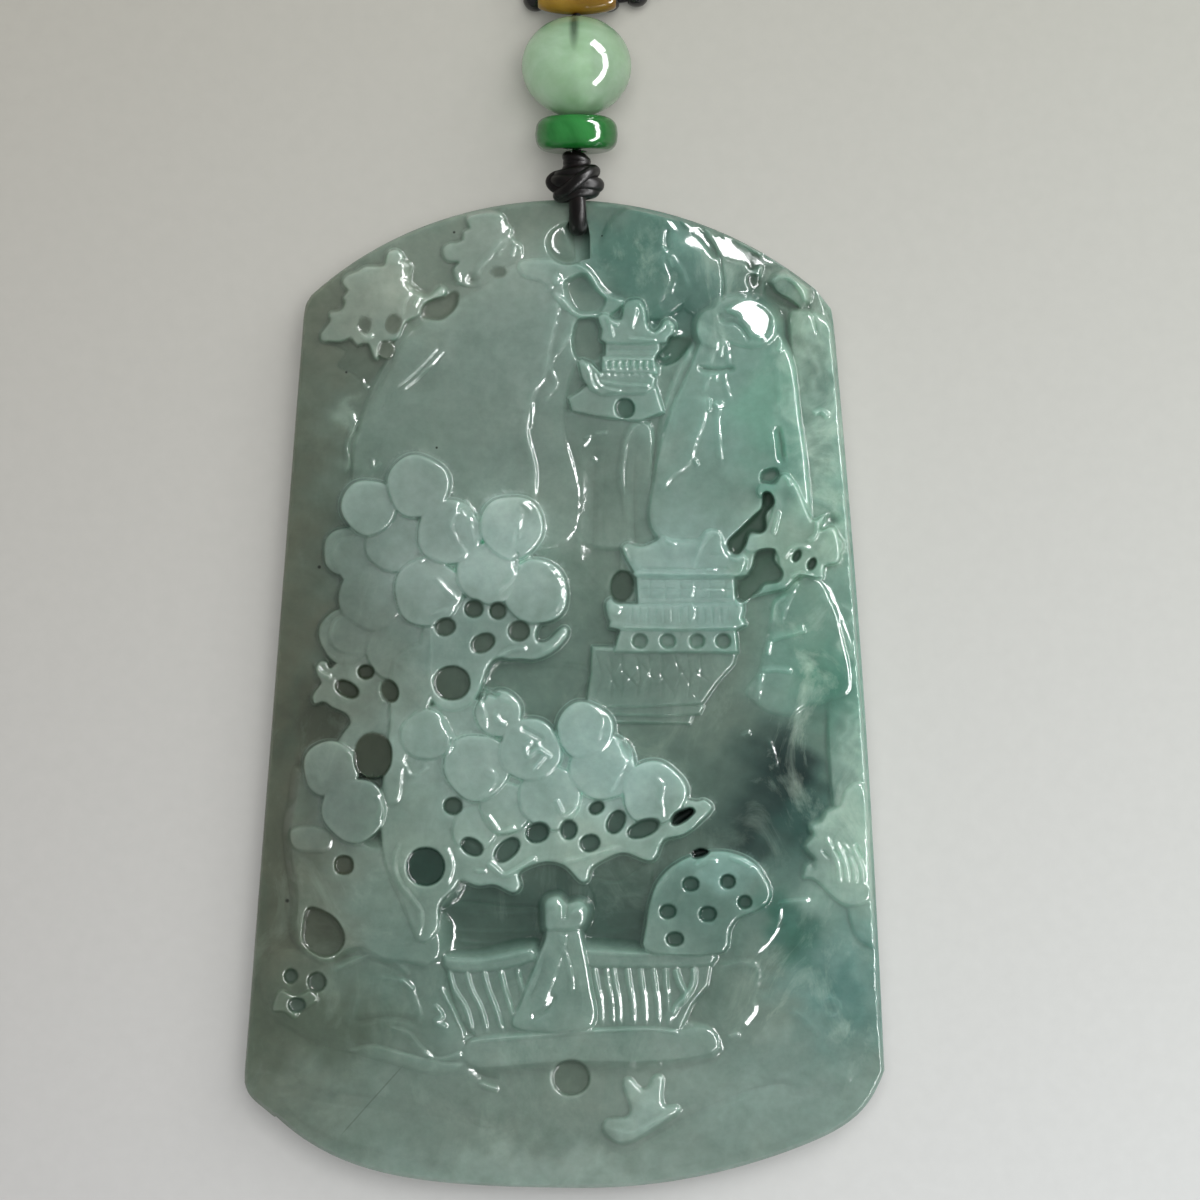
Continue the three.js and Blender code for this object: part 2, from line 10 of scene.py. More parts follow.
import bpy
import numpy as np
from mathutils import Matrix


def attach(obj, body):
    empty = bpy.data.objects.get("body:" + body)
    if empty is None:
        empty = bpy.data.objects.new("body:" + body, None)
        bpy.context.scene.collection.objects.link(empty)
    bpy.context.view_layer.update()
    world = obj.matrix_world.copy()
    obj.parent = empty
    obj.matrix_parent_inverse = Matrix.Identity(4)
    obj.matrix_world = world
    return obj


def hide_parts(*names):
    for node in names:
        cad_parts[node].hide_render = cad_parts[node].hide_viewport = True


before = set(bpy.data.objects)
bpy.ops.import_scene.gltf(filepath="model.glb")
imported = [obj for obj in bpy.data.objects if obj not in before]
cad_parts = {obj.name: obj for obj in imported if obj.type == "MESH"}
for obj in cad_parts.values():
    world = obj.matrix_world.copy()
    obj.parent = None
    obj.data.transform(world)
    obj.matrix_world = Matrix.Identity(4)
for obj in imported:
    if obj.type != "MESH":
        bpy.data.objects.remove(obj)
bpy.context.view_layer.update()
scene = bpy.context.scene
MM = 0.001

# ------------------------------------------------------------------ sizes, mm
STACK_X, STACK_Z = 0.84, 3.75              # the drop's axis above the plaque
KNOT = (0.84, 34.25, 5.2)                  # main knot
SMALL_KNOT = (0.84, 35.75, 4.5)
DISC = dict(at=(0.84, 37.75, 3.75), r=2.76, t=2.3, edge=0.85, bore=0.65)
BALL = dict(at=(0.84, 42.34, 3.75), r=3.71, ry=3.4, bore=0.65)
BARREL = dict(at=(0.87, 47.06, 3.5), length=5.27, mid=1.22, end=0.8, bore=0.45)
BLACK = dict(r=0.95, bore=0.58, z=0.96)
BLACK_AT = {"right_1": ((3.0, 47.36), (-0.1, 1.0)), "right_2": ((4.88, 47.70), None), "right_3": ((6.5, 48.72), None),
            "left_1": ((-1.94, 47.4), None), "left_2": ((-3.3, 48.76), None), "left_3": ((-4.28, 50.42), None)}
CORD_D = 0.8
STRING_D = 0.6
COIL = dict(at=(1.9, 60.6), r=4.7, across=5, layers=4, pitch=0.82)


# ------------------------------------------------------------------ camera
cam_data = bpy.data.cameras.new("camera")
cam_data.sensor_width = 36.0
cam_data.lens = 36.0 * 260.0 / 80.28
cam_data.clip_start, cam_data.clip_end = 0.01, 20.0
camera = bpy.data.objects.new("camera", cam_data)
camera.location = (2.425 * MM, 6.335 * MM, 266.0 * MM)
scene.collection.objects.link(camera)
scene.camera = camera


# ------------------------------------------------------------------ mesh helpers
def mesh_object(name, verts, faces, scale=MM, smooth=True):
    """An object at the origin from points in mm."""
    me = bpy.data.meshes.new(name)
    v = np.asarray(verts, np.float64) * scale
    if isinstance(faces, np.ndarray):
        k = faces.shape[1]
        me.vertices.add(len(v))
        me.vertices.foreach_set("co", v.astype(np.float32).ravel())
        me.loops.add(faces.size)
        me.loops.foreach_set("vertex_index", faces.astype(np.int32).ravel())
        me.polygons.add(len(faces))
        me.polygons.foreach_set("loop_start", np.arange(0, faces.size, k, dtype=np.int32))
        me.update(calc_edges=True)
    else:
        me.from_pydata([tuple(p) for p in v], [], [tuple(int(i) for i in f) for f in faces])
        me.update()
    if smooth:
        me.shade_smooth()
    ob = bpy.data.objects.new(name, me)
    scene.collection.objects.link(ob)
    return ob


def smooth_line(points, closed=False, n=10):
    """A smooth line through points in space."""
    P = np.asarray(points, float)
    Q = np.vstack([P[-1], P, P[:2]]) if closed else np.vstack([2 * P[0] - P[1], P, 2 * P[-1] - P[-2]])
    out = []
    for i in range(1, len(Q) - 2):
        p0, p1, p2, p3 = Q[i - 1:i + 3]
        for t in np.arange(n) / n:
            out.append((2 * p1 + (p2 - p0) * t + (2 * p0 - 5 * p1 + 4 * p2 - p3) * t * t + (3 * p1 - p0 - 3 * p2 + p3) * t ** 3) / 2)
    if not closed:
        out.append(Q[-2])
    return np.array(out)


def tube(path, radius, seg=20, closed=False, strands=0, twist=0.0, depth=0.0):
    """Points and faces of a string swept along a path. strands and twist lay a plied surface on it."""
    P = np.asarray(path, float)
    n = len(P)
    T = np.roll(P, -1, 0) - np.roll(P, 1, 0) if closed else np.gradient(P, axis=0)
    T /= np.linalg.norm(T, axis=1, keepdims=True)
    N = np.zeros_like(P)
    a = np.array([0.0, 0, 1]) if abs(T[0][2]) < 0.9 else np.array([1.0, 0, 0])
    N[0] = np.cross(T[0], np.cross(a, T[0]))
    N[0] /= np.linalg.norm(N[0])
    for i in range(1, n):
        v = N[i - 1] - T[i] * np.dot(N[i - 1], T[i])
        N[i] = v / np.linalg.norm(v)
    B = np.cross(T, N)
    r = np.full(n, radius, float) if np.isscalar(radius) else np.asarray(radius, float)
    s = np.r_[0, np.cumsum(np.linalg.norm(np.diff(P, axis=0), axis=1))]
    th = np.arange(seg) / seg * 2 * np.pi
    rr = r[:, None] * (1 - (depth * (0.5 - 0.5 * np.cos(strands * (th[None] + twist * s[:, None]))) if strands else 0))
    V = P[:, None] + rr[..., None] * (np.cos(th)[None, :, None] * N[:, None] + np.sin(th)[None, :, None] * B[:, None])
    V = V.reshape(-1, 3)
    F = []
    for i in range(n if closed else n - 1):
        a0, b0 = i * seg, ((i + 1) % n) * seg
        for j in range(seg):
            k = (j + 1) % seg
            F.append((a0 + j, a0 + k, b0 + k, b0 + j))
    if not closed:
        for end, off, sgn in ((0, 0, -1), (n - 1, (n - 1) * seg, 1)):
            c = len(V)
            V = np.vstack([V, P[end] + T[end] * sgn * r[end] * 0.35])
            for j in range(seg):
                k = (j + 1) % seg
                F.append((off + k, off + j, c) if sgn < 0 else (off + j, off + k, c))
    return V, F


def joined(parts):
    """Several point and face lists as one."""
    V, F = [], []
    off = 0
    for v, f in parts:
        V.append(np.asarray(v, float))
        F += [tuple(i + off for i in q) for q in f]
        off += len(v)
    return np.vstack(V), F


def turned(profile, at, axis, seg=72):
    """A turned bead: a closed section of (radius, along) points round an axis."""
    A = np.asarray(axis, float)
    A /= np.linalg.norm(A)
    a = np.array([0.0, 0, 1]) if abs(A[2]) < 0.9 else np.array([1.0, 0, 0])
    X = np.cross(a, A)
    X /= np.linalg.norm(X)
    Y = np.cross(A, X)
    th = np.arange(seg) / seg * 2 * np.pi
    pr = np.asarray(profile, float)
    V = (np.asarray(at, float) + pr[:, None, 1:2] * A + pr[:, None, 0:1] * (np.cos(th)[None, :, None] * X + np.sin(th)[None, :, None] * Y)).reshape(-1, 3)
    n = len(pr)
    F = []
    for i in range(n):
        a0, b0 = i * seg, ((i + 1) % n) * seg
        for j in range(seg):
            k = (j + 1) % seg
            F.append((a0 + j, a0 + k, b0 + k, b0 + j))
    return V, F


def face_out(ob):
    """Turns a closed mesh's faces outward."""
    import bmesh
    bm = bmesh.new()
    bm.from_mesh(ob.data)
    bmesh.ops.recalc_face_normals(bm, faces=bm.faces)
    bm.to_mesh(ob.data)
    bm.free()
    ob.data.update()


# ------------------------------------------------------------------ the neck cord's route, mm
def coil_route():
    """Twenty turns wound in four layers, starting and ending at the outside."""
    cx, cy = COIL["at"]
    pitch, n, layers = COIL["pitch"], COIL["across"], COIL["layers"]
    inner = COIL["r"] - pitch * (n - 1) / 2
    step = 30                               # points in a turn
    pts = []
    z0 = CORD_D / 2 + 0.06
    a = 0.0
    for lay in range(layers):
        radii = [inner + pitch * k for k in range(n)]
        if lay % 2 == 0:
            radii = radii[::-1]
        for k, r in enumerate(radii):
            nxt = radii[k + 1] if k + 1 < n else r
            for j in range(step):
                f = j / step
                ease = max(0.0, (f - 0.75) / 0.25)
                ease = ease * ease * (3 - 2 * ease)
                rr = r + (nxt - r) * ease
                z = z0 + pitch * lay
                if k + 1 == n and lay + 1 < layers:
                    z += pitch * ease
                pts.append((cx + rr * math.cos(a), cy + rr * math.sin(a), z))
                a += 2 * math.pi / step
    # the last half turn comes down outside the coil and leaves at the left
    top = z0 + pitch * (layers - 1)
    out = inner + pitch * (n - 1)
    for j in range(step // 2 + 1):
        f = j / (step / 2)
        g = min(1.0, f / 0.45)
        h = min(1.0, max(0.0, (f - 0.25) / 0.7))
        h = h * h * (3 - 2 * h)
        g = g * g * (3 - 2 * g)
        pts.append((cx + (out + pitch * 1.02 * g) * math.cos(a), cy + (out + pitch * 1.02 * g) * math.sin(a), top + (z0 - top) * h))
        a += 2 * math.pi / step
    return pts


def neck_route():
    z = CORD_D / 2 + 0.06
    right = [(0.96, 47.36, 1.22), (1.74, 47.36, 1.12), (3.0, 47.36, 0.96), (4.0, 47.48, 0.95), (4.88, 47.70, 0.96), (5.75, 48.12, 0.95), (6.5, 48.72, 0.93),
             (7.15, 49.55, 0.62), (7.55, 50.3, z), (7.9, 51.3, z), (8.2, 52.3, z), (8.38, 53.4, z), (8.48, 54.6, z), (8.54, 55.8, z), (8.52, 57.2, z), (8.38, 58.8, z)]
    left = [(-5.22, 59.4, z), (-5.1, 58.0, z), (-4.95, 56.6, z), (-4.95, 55.4, z), (-4.93, 54.2, z), (-4.90, 53.2, z), (-4.82, 52.28, z), (-4.62, 51.3, 0.66), (-4.28, 50.42, 0.93),
            (-3.82, 49.56, 0.95), (-3.3, 48.76, 0.96), (-2.68, 48.0, 0.95), (-1.94, 47.4, 0.96), (-0.9, 47.3, 1.1), (-0.06, 47.36, 1.12), (0.72, 47.36, 1.22)]
    return right + coil_route() + left


def string_curve(name, pts, d):
    cu = bpy.data.curves.new(name, "CURVE")
    cu.dimensions = "3D"
    cu.bevel_depth = 1.0
    cu.bevel_resolution = 4
    cu.use_fill_caps = True
    sp = cu.splines.new("POLY")
    sp.points.add(len(pts) - 1)
    sp.points.foreach_set("co", np.c_[np.asarray(pts) * MM, np.ones(len(pts))].astype(np.float32).ravel())
    sp.points.foreach_set("radius", np.full(len(pts), d / 2 * MM, np.float32))
    sp.use_smooth = True
    ob = bpy.data.objects.new(name, cu)
    scene.collection.objects.link(ob)
    return ob


tail_pts = neck_route()
NECK = np.vstack([smooth_line(tail_pts[:20], n=4)[:-4 * 3], np.array(tail_pts[17:-18]), smooth_line(tail_pts[-20:], n=4)[4 * 2:]])
neck_cord = string_curve("neck_cord", NECK, CORD_D)
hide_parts("neck_cord_right", "neck_cord_left", "neck_cord_coil")
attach(neck_cord, "root")

# a thread tie holds the coil's turns together
tie_parts = []
for ang in (math.radians(238), math.radians(305)):
    cx, cy = COIL["at"]
    ux, uy = math.cos(ang), math.sin(ang)
    ring = []
    lo, hi = COIL["r"] - 2.22, COIL["r"] + 2.22
    for r_, z_ in ((lo, 1.7), (lo, 3.0), (lo + 0.35, 3.44), (COIL["r"], 3.5), (hi - 0.35, 3.44), (hi, 3.0), (hi, 1.7), (hi, 0.5), (hi - 0.4, 0.16), (COIL["r"], 0.13), (lo + 0.4, 0.16), (lo, 0.5)):
        ring.append((cx + r_ * ux, cy + r_ * uy, z_))
    for side in (-0.16, 0.16):
        shifted = [(x - uy * side, y + ux * side, z_) for x, y, z_ in ring]
        tie_parts.append(tube(smooth_line(shifted, closed=True, n=6), 0.15, seg=10, closed=True))
V, F = joined(tie_parts)
coil_tie = mesh_object("coil_tie", V, F)
face_out(coil_tie)
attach(coil_tie, "root")


# ------------------------------------------------------------------ beads
def round_section(r, ry, bore, n=40, lip=0.12, power=2.0):
    """A bead with a bore: outer curve, then the bore's wall."""
    t0 = math.asin(min(1, bore / r))
    pts = []
    for k in range(n + 1):
        t = t0 + (math.pi - 2 * t0) * k / n
        s, c = math.sin(t), math.cos(t)
        q = (abs(s) ** power + abs(c) ** power) ** (-1 / power)
        pts.append((r * q * s, -ry * q * c))
    top = pts[-1][1]
    pts.append((bore - 0.02, top - lip))
    for k in range(1, 4):
        pts.append((bore - 0.02, (top - lip) * (1 - 2 * k / 4)))
    pts.append((bore - 0.02, -(top - lip)))
    return pts


V, F = turned(round_section(BALL["r"], BALL["ry"], BALL["bore"]), BALL["at"], (0, 1, 0), 96)
round_bead = mesh_object("round_bead_stone", V, F)
face_out(round_bead)
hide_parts("round_bead")
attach(round_bead, "root")

r, t, e, b = DISC["r"], DISC["t"] / 2, DISC["edge"], DISC["bore"]
section = [(b, -t + 0.06), (b + 0.1, -t)]
section += [(b + 0.1 + (r - e - b - 0.1) * k / 6, -t) for k in range(1, 6)]
section += [(r - e + e * math.sin(a), -t + e - e * math.cos(a)) for a in np.linspace(0, math.pi / 2, 12)]
section += [(r + 0.03 * math.sin(math.pi * k / 5), -t + e + (2 * t - 2 * e) * k / 5) for k in range(1, 5)]
section += [(r - e + e * math.cos(a), t - e + e * math.sin(a)) for a in np.linspace(0, math.pi / 2, 12)]
section += [(b + 0.1 + (r - e - b - 0.1) * (6 - k) / 6, t) for k in range(1, 6)]
section += [(b + 0.1, t), (b, t - 0.06), (b, t / 2), (b, 0), (b, -t / 2)]
V, F = turned(section, DISC["at"], (0, 1, 0), 96)
disc_bead = mesh_object("disc_bead_stone", V, F)
face_out(disc_bead)
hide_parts("disc_bead")
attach(disc_bead, "root")

h = BARREL["length"] / 2
section = [(BARREL["bore"], -h + 0.08), (BARREL["bore"] + 0.08, -h), (BARREL["end"] - 0.1, -h)]
for k in range(25):
    q = -1 + 2 * k / 24
    section.append((BARREL["end"] + (BARREL["mid"] - BARREL["end"]) * (1 - q * q) ** 0.75, q * (h - 0.1)))
section += [(BARREL["end"] - 0.1, h), (BARREL["bore"] + 0.08, h), (BARREL["bore"], h - 0.08), (BARREL["bore"], 0)]
V, F = turned(section, BARREL["at"], (1, 0, 0), 64)
barrel_bead = mesh_object("barrel_bead_stone", V, F)
face_out(barrel_bead)
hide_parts("barrel_bead")
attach(barrel_bead, "root")

black_beads = []
BLACK_AXIS = {"right_1": (1, 0.06), "right_2": (1, 0.35), "right_3": (0.75, 0.95), "left_1": (1, -0.45), "left_2": (0.7, -1), "left_3": (0.35, -1)}
for key, (at, _) in BLACK_AT.items():
    ax = BLACK_AXIS[key]
    V, F = turned(round_section(BLACK["r"], BLACK["r"] * 0.93, BLACK["bore"], n=24, lip=0.08), (at[0], at[1], BLACK["z"]), (ax[0], ax[1], 0), 48)
    ob = mesh_object("black_bead_stone_" + key, V, F)
    face_out(ob)
    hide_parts("black_bead_" + key)
    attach(ob, "root")
    black_beads.append(ob)

# ------------------------------------------------------------------ the drop's own string and knots
parts = []
loop = [(.84, 34.25, 5.7), (0.9, 33.3, 5.75), (0.93, 32.45, 5.65), (0.95, 31.85, 5.3), (0.96, 31.4, 4.75), (0.955, 31.5, 4.15), (0.92, 32.1, 3.62), (0.86, 33.2, 2.95), (0.85, 33.9, 3.2), (.84, 34.35, 4.6)]
parts.append(tube(smooth_line(loop, n=10), 0.6, seg=28, strands=2, twist=0.5, depth=0.08))
up = [(.84, 34.65, 5.0), (.84, 35.75, 4.5), (.84, 36.75, 3.75), (.84, 42.34, 3.75), (.84, 45.2, 3.75), (.84, 46.0, 3.6), (.84, 47.06, 3.5), (.84, 48.2, 3.45), (.84, 48.62, 2.8), (.84, 48.5, 2.0), (.84, 48.09, 1.22)]
parts.append(tube(smooth_line(up, n=8), 0.31, seg=16))
# the main knot: wraps round the two strands, drawn tight and crossed in front
kx, ky, kz = KNOT
wraps = ((-0.62, 1.12, 0.86, 0.10, 0.47), (0.02, 1.36, 1.04, -0.05, 0.52), (0.64, 1.16, 0.86, 0.12, 0.46))
for dy, rx, rz, tilt, rt in wraps:
    th = np.linspace(0, 2 * np.pi, 49)[:-1]
    ring = np.c_[kx + rx * np.cos(th), ky + dy + tilt * rx * np.cos(th) * 1.4, kz + rz * np.sin(th)]
    parts.append(tube(ring, rt, seg=20, closed=True))
cross = [(kx - 1.2, ky - 0.72, kz + 0.55), (kx - 0.62, ky - 0.5, kz + 1.2), (kx + 0.15, ky + 0.1, kz + 1.42), (kx + 0.8, ky + 0.62, kz + 1.05), (kx + 1.15, ky + 0.85, kz + 0.4)]
parts.append(tube(smooth_line(cross, n=8), 0.4, seg=18))
side = [(kx - 0.9, ky - 0.5, kz + 0.7), (kx - 1.5, ky - 0.25, kz + 0.5), (kx - 1.72, ky + 0.15, kz + 0.2), (kx - 1.4, ky + 0.5, kz + 0.1), (kx - 0.8, ky + 0.6, kz + 0.2)]
parts.append(tube(smooth_line(side, n=8), 0.36, seg=16))
parts.append(turned(round_section(1.32, 1.15, 0.05, n=20, lip=0.02), KNOT, (0, 1, 0), 32))
# the small knot above it
sx, sy, sz = SMALL_KNOT
parts.append(turned(round_section(0.92, 0.78, 0.05, n=16, lip=0.02), SMALL_KNOT, (0, 1, 0), 28))
for dy, tilt in ((-0.2, 0.42), (0.24, -0.3)):
    th = np.linspace(0, 2 * np.pi, 37)[:-1]
    parts.append(tube(np.c_[sx + 0.62 * np.cos(th), sy + dy + tilt * 0.58 * np.cos(th), sz + 0.6 * np.sin(th)], 0.36, seg=16, closed=True))
th = np.linspace(0, 2 * np.pi, 49)[:-1]
parts.append(tube(np.c_[np.full(48, 0.84), 47.36 + 0.73 * np.cos(th), 1.22 + 0.73 * np.sin(th)], 0.26, seg=14, closed=True))
V, F = joined(parts)
drop_cord = mesh_object("drop_string", V, F)
face_out(drop_cord)
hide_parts("drop_cord")
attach(drop_cord, "root")


# ------------------------------------------------------------------ the relief of the plaque's face
# Places are given in units of the layout grid (u to the right, v down, 0.0669 mm a unit at the
# carving's middle height); heights are millimetres above the flat back.
UNIT = 0.0669
EYE = 266.0                    # height of the viewpoint that the layout grid is drawn from, mm
MID = (2.425, 6.335)
OUT = dict(apex=(565, 200), radius=395, half=(258, 263), left=(244, 1080), right=(884.5, 1070), bow=5,
           foot=(585, 1188), span=(341, 299.5), drop=(108, 118), sweep=(0.25, 0.68), corner=(5, 18))
RIM_Z = 4.0                    # height of the widest line of the plaque's edge
GROUND = 4.4


def curve(points, closed=False, n=8):
    """A smooth line through a few points."""
    P = np.asarray(points, float)
    if closed:
        Q = np.vstack([P[-1], P, P[:2]])
    else:
        Q = np.vstack([2 * P[0] - P[1], P, 2 * P[-1] - P[-2]])
    out = []
    for i in range(1, len(Q) - 2):
        p0, p1, p2, p3 = Q[i - 1], Q[i], Q[i + 1], Q[i + 2]
        for t in np.arange(n) / n:
            a = 2 * p1 + (p2 - p0) * t + (2 * p0 - 5 * p1 + 4 * p2 - p3) * t * t + (3 * p1 - p0 - 3 * p2 + p3) * t ** 3
            out.append(a / 2)
    if not closed:
        out.append(Q[-2])
    return np.array(out)


def rim_curves(n=400):
    """The four sides of the outline, each as a dense line of grid points: top, right, foot, left."""
    (ax, ay), R = OUT["apex"], OUT["radius"]
    drop = lambda d: R - np.sqrt(R * R - d * d)
    tl = np.array([ax - OUT["half"][0], ay + drop(OUT["half"][0])])
    tr = np.array([ax + OUT["half"][1], ay + drop(OUT["half"][1])])
    t = np.linspace(0, 1, n)
    x = np.linspace(tl[0] + 0.012 * 258, tr[0] - 0.012 * 263, n)
    top = np.c_[x, ay + drop(np.abs(x - ax)) + 3.4 * np.clip((ax - x) / 258, 0, 1) ** 6]
    a = np.array([tr[0] + 5, tr[1] + 14])
    right = np.c_[a[0] + (OUT["right"][0] - a[0]) * t + OUT["bow"] * np.sin(np.pi * t), a[1] + (OUT["right"][1] - a[1]) * t]
    b = np.array([tl[0] - 3, tl[1] + 16])
    left = np.c_[b[0] + (OUT["left"][0] - b[0]) * t, b[1] + (OUT["left"][1] - b[1]) * t]
    foot = []
    for k, sgn in ((0, -1), (1, 1)):
        s = np.sin(np.linspace(0, 1, n) * np.pi / 2)
        y = OUT["foot"][1] - OUT["drop"][k] * (OUT["sweep"][k] * s * s + (1 - OUT["sweep"][k]) * s ** OUT["corner"][k])
        foot.append(np.c_[OUT["foot"][0] + sgn * OUT["span"][k] * s, y])
    foot = np.vstack([foot[0][::-1], foot[1][1:]])
    # the corners of the head are eased
    left = np.vstack([curve([top[1], (306.0, 304.6), left[3]], n=12), left[4:]])
    top = top[1:]
    right = np.vstack([curve([top[-7], (830.0, 306.5), right[12]], n=12)[12:], right[14:]])
    top = top[:-7]
    # the foot's left corner is rounded
    keep = foot[:, 0] > 276
    foot = np.vstack([curve([(244, 1070), (244.6, 1082), (248, 1092.5), (255, 1101), (264, 1108.5), (274, 1116.5), foot[keep][0], foot[keep][6]], n=10)[10:-10], foot[keep]])
    left = left[left[:, 1] < 1076]
    left[0], right[0] = top[0], top[-1]
    left[-1], right[-1] = foot[0], foot[-1]
    return top, right, foot, left


def even(line, n, ease=0.0):
    """n points evenly spaced along a line."""
    s = np.r_[0, np.cumsum(np.hypot(*np.diff(line, axis=0).T))]
    q = np.linspace(0, s[-1], n)
    return np.c_[np.interp(q, s, line[:, 0]), np.interp(q, s, line[:, 1])]


def sdf(u, v, P):
    """Distance to a closed outline, negative inside."""
    d = np.full(u.shape, 1e9, np.float32)
    s = np.zeros(u.shape, bool)
    j = len(P) - 1
    for i in range(len(P)):
        (ax, ay), (bx, by) = P[i], P[j]
        ex, ey = bx - ax, by - ay
        wx, wy = u - ax, v - ay
        t = np.clip((wx * ex + wy * ey) / (ex * ex + ey * ey + 1e-9), 0, 1)
        np.minimum(d, (wx - ex * t) ** 2 + (wy - ey * t) ** 2, out=d)
        c1, c2, c3 = v >= ay, v < by, ex * wy > ey * wx
        s ^= (c1 & c2 & c3) | (~c1 & ~c2 & ~c3)
        j = i
    return np.where(s, -1, 1) * np.sqrt(d)


def along(u, v, P):
    """Distance to an open line, the side of it (+ on the lit side), and how far along, 0 to 1."""
    d = np.full(u.shape, 1e9, np.float32)
    side = np.ones(u.shape, np.float32)
    q = np.zeros(u.shape, np.float32)
    L = np.r_[0, np.cumsum(np.hypot(*np.diff(P, axis=0).T))]
    for i in range(len(P) - 1):
        (ax, ay), (bx, by) = P[i], P[i + 1]
        ex, ey = bx - ax, by - ay
        l2 = ex * ex + ey * ey + 1e-9
        wx, wy = u - ax, v - ay
        t = np.clip((wx * ex + wy * ey) / l2, 0, 1)
        dd = (wx - ex * t) ** 2 + (wy - ey * t) ** 2
        near = dd < d
        d = np.where(near, dd, d)
        side = np.where(near, np.sign(ex * wy - ey * wx), side)
        q = np.where(near, (L[i] + t * (L[i + 1] - L[i])) / L[-1], q)
    # the lit side is the one that faces the window, 18 degrees up from the right
    e = np.diff(P, axis=0)
    lit = -1.0 if (e[:, 1] * 0.951 + e[:, 0] * 0.309).sum() > 0 else 1.0
    return np.sqrt(d), side * lit, q


def smax(a, b, k):
    h = np.maximum(k - np.abs(a - b), 0) / k
    return np.maximum(a, b) + h * h * k / 4


def smin(a, b, k):
    h = np.maximum(k - np.abs(a - b), 0) / k
    return np.minimum(a, b) - h * h * k / 4


class Carving:
    WALL = 1.3                # mm of height a cut wall gains in one unit of the grid

    def __init__(self, u, v):
        self.u, self.v = u.astype(np.float32), v.astype(np.float32)
        self.h = np.full(u.shape, GROUND, np.float32)
        # painted shade: this mask marks where the dark eye tones go
        self.eye = np.zeros(u.shape, np.float32)      # 1 inside a drilled eye or a deep slot

    def near(self, P, pad):
        P = np.asarray(P, float)
        u0, v0 = P.min(0) - pad
        u1, v1 = P.max(0) + pad
        m = (self.u > u0) & (self.u < u1) & (self.v > v0) & (self.v < v1)
        r, c = np.flatnonzero(m.any(1)), np.flatnonzero(m.any(0))
        if not len(r) or not len(c):
            return None
        w = (slice(r[0], r[-1] + 1), slice(c[0], c[-1] + 1))
        return w, self.u[w], self.v[w]

    def edge(self, d, top, r, rv, wall=None):
        """The section of a raised form: d units inside its outline, rounded over r units and rv mm."""
        q = np.clip(1 - d / r, 0, 1)
        return np.where(d >= 0, top - rv * (1 - np.sqrt(np.maximum(1 - q * q, 0))), top - rv + d * (wall or self.WALL))

    def plate(self, P, top, r=5, rv=0.3, tilt=(0, 0), crown=0.0, smooth=6, k=0.0, wall=None, inset=0.0):
        """A raised form of any outline. tilt is mm a 100 units, crown lifts its middle."""
        line = curve(P, True, smooth) if smooth else np.asarray(P, float)
        got = self.near(line, max(6, 2.2 / (wall or 1)))
        if not got:
            return
        w, u, v = got
        d = -sdf(u, v, line) - inset
        c = line.mean(0)
        z = top + tilt[0] * (u - c[0]) / 100 + tilt[1] * (v - c[1]) / 100
        if crown:
            z = z + crown * (1 - np.exp(-np.maximum(d, 0) / (0.35 * np.ptp(line, axis=0).min())))
        z = self.edge(d, z, r, rv, wall)
        self.h[w] = smax(self.h[w], z, k) if k else np.maximum(self.h[w], z)

    def disc(self, u0, v0, r, top, tilt=(0, 0), crown=0.25, re=7, rv=0.45, facet=0.03, seed=0, k=0.0):
        """A round pad of foliage, slightly crowned, with a rounded edge."""
        got = self.near([(u0, v0)], r + 6)
        if not got:
            return
        w, u, v = got
        x, y = u - u0, v - v0
        a = np.arctan2(y, x)
        R = r * (1 + facet * np.cos(3 * a + seed) + 0.6 * facet * np.cos(5 * a + 2.1 * seed))
        q = np.hypot(x, y)
        z = top + tilt[0] * x / r + tilt[1] * y / r - crown * (q / r) ** 2
        z = self.edge(R - q, z, re, rv)
        self.h[w] = smax(self.h[w], z, k) if k else np.maximum(self.h[w], z)

    def mound(self, u0, v0, ru, rv, z0, z1, turn=0.0, p=2.0, k=0.3):
        """A smooth swelling on an oval foot."""
        got = self.near([(u0 - max(ru, rv), v0 - max(ru, rv)), (u0 + max(ru, rv), v0 + max(ru, rv))], 4)
        if not got:
            return
        w, u, v = got
        c, s = np.cos(turn), np.sin(turn)
        x, y = (u - u0) * c + (v - v0) * s, -(u - u0) * s + (v - v0) * c
        q = np.hypot(x / ru, y / rv)
        z = np.where(q < 1, z0 + (z1 - z0) * np.maximum(1 - q ** p, 0) ** (1 / p), z0 - (q - 1) * 6)
        self.h[w] = smax(self.h[w], z, k)

    def swell(self, u0, v0, ru, rv, dz, turn=0.0, soft=1.0):
        """Adds or takes off height over a soft oval."""
        R = 2.4 * max(ru, rv)
        got = self.near([(u0 - R, v0 - R), (u0 + R, v0 + R)], 0)
        if not got:
            return
        w, u, v = got
        c, s = np.cos(turn), np.sin(turn)
        x, y = (u - u0) * c + (v - v0) * s, -(u - u0) * s + (v - v0) * c
        q = (x / ru) ** 2 + (y / rv) ** 2
        self.h[w] += dz * np.exp(-q ** soft)

    def crest(self, P, dz, left=6, right=6, ends=0.12, p=1.3, smooth=6, keep=0.0):
        """A ridge (or, with dz below 0, a cut line) along a line; `right` is the width of its lit side."""
        line = curve(P, False, smooth)
        got = self.near(line, 1 + max(left, right))
        if not got:
            return
        w, u, v = got
        d, side, q = along(u, v, line)
        width = np.where(side > 0, right, left)
        f = np.clip(1 - d / width, 0, 1) ** p
        fade = np.clip(np.minimum(q, 1 - q) / max(ends, 1e-3), keep, 1) if ends else 1.0
        self.h[w] += dz * f * fade

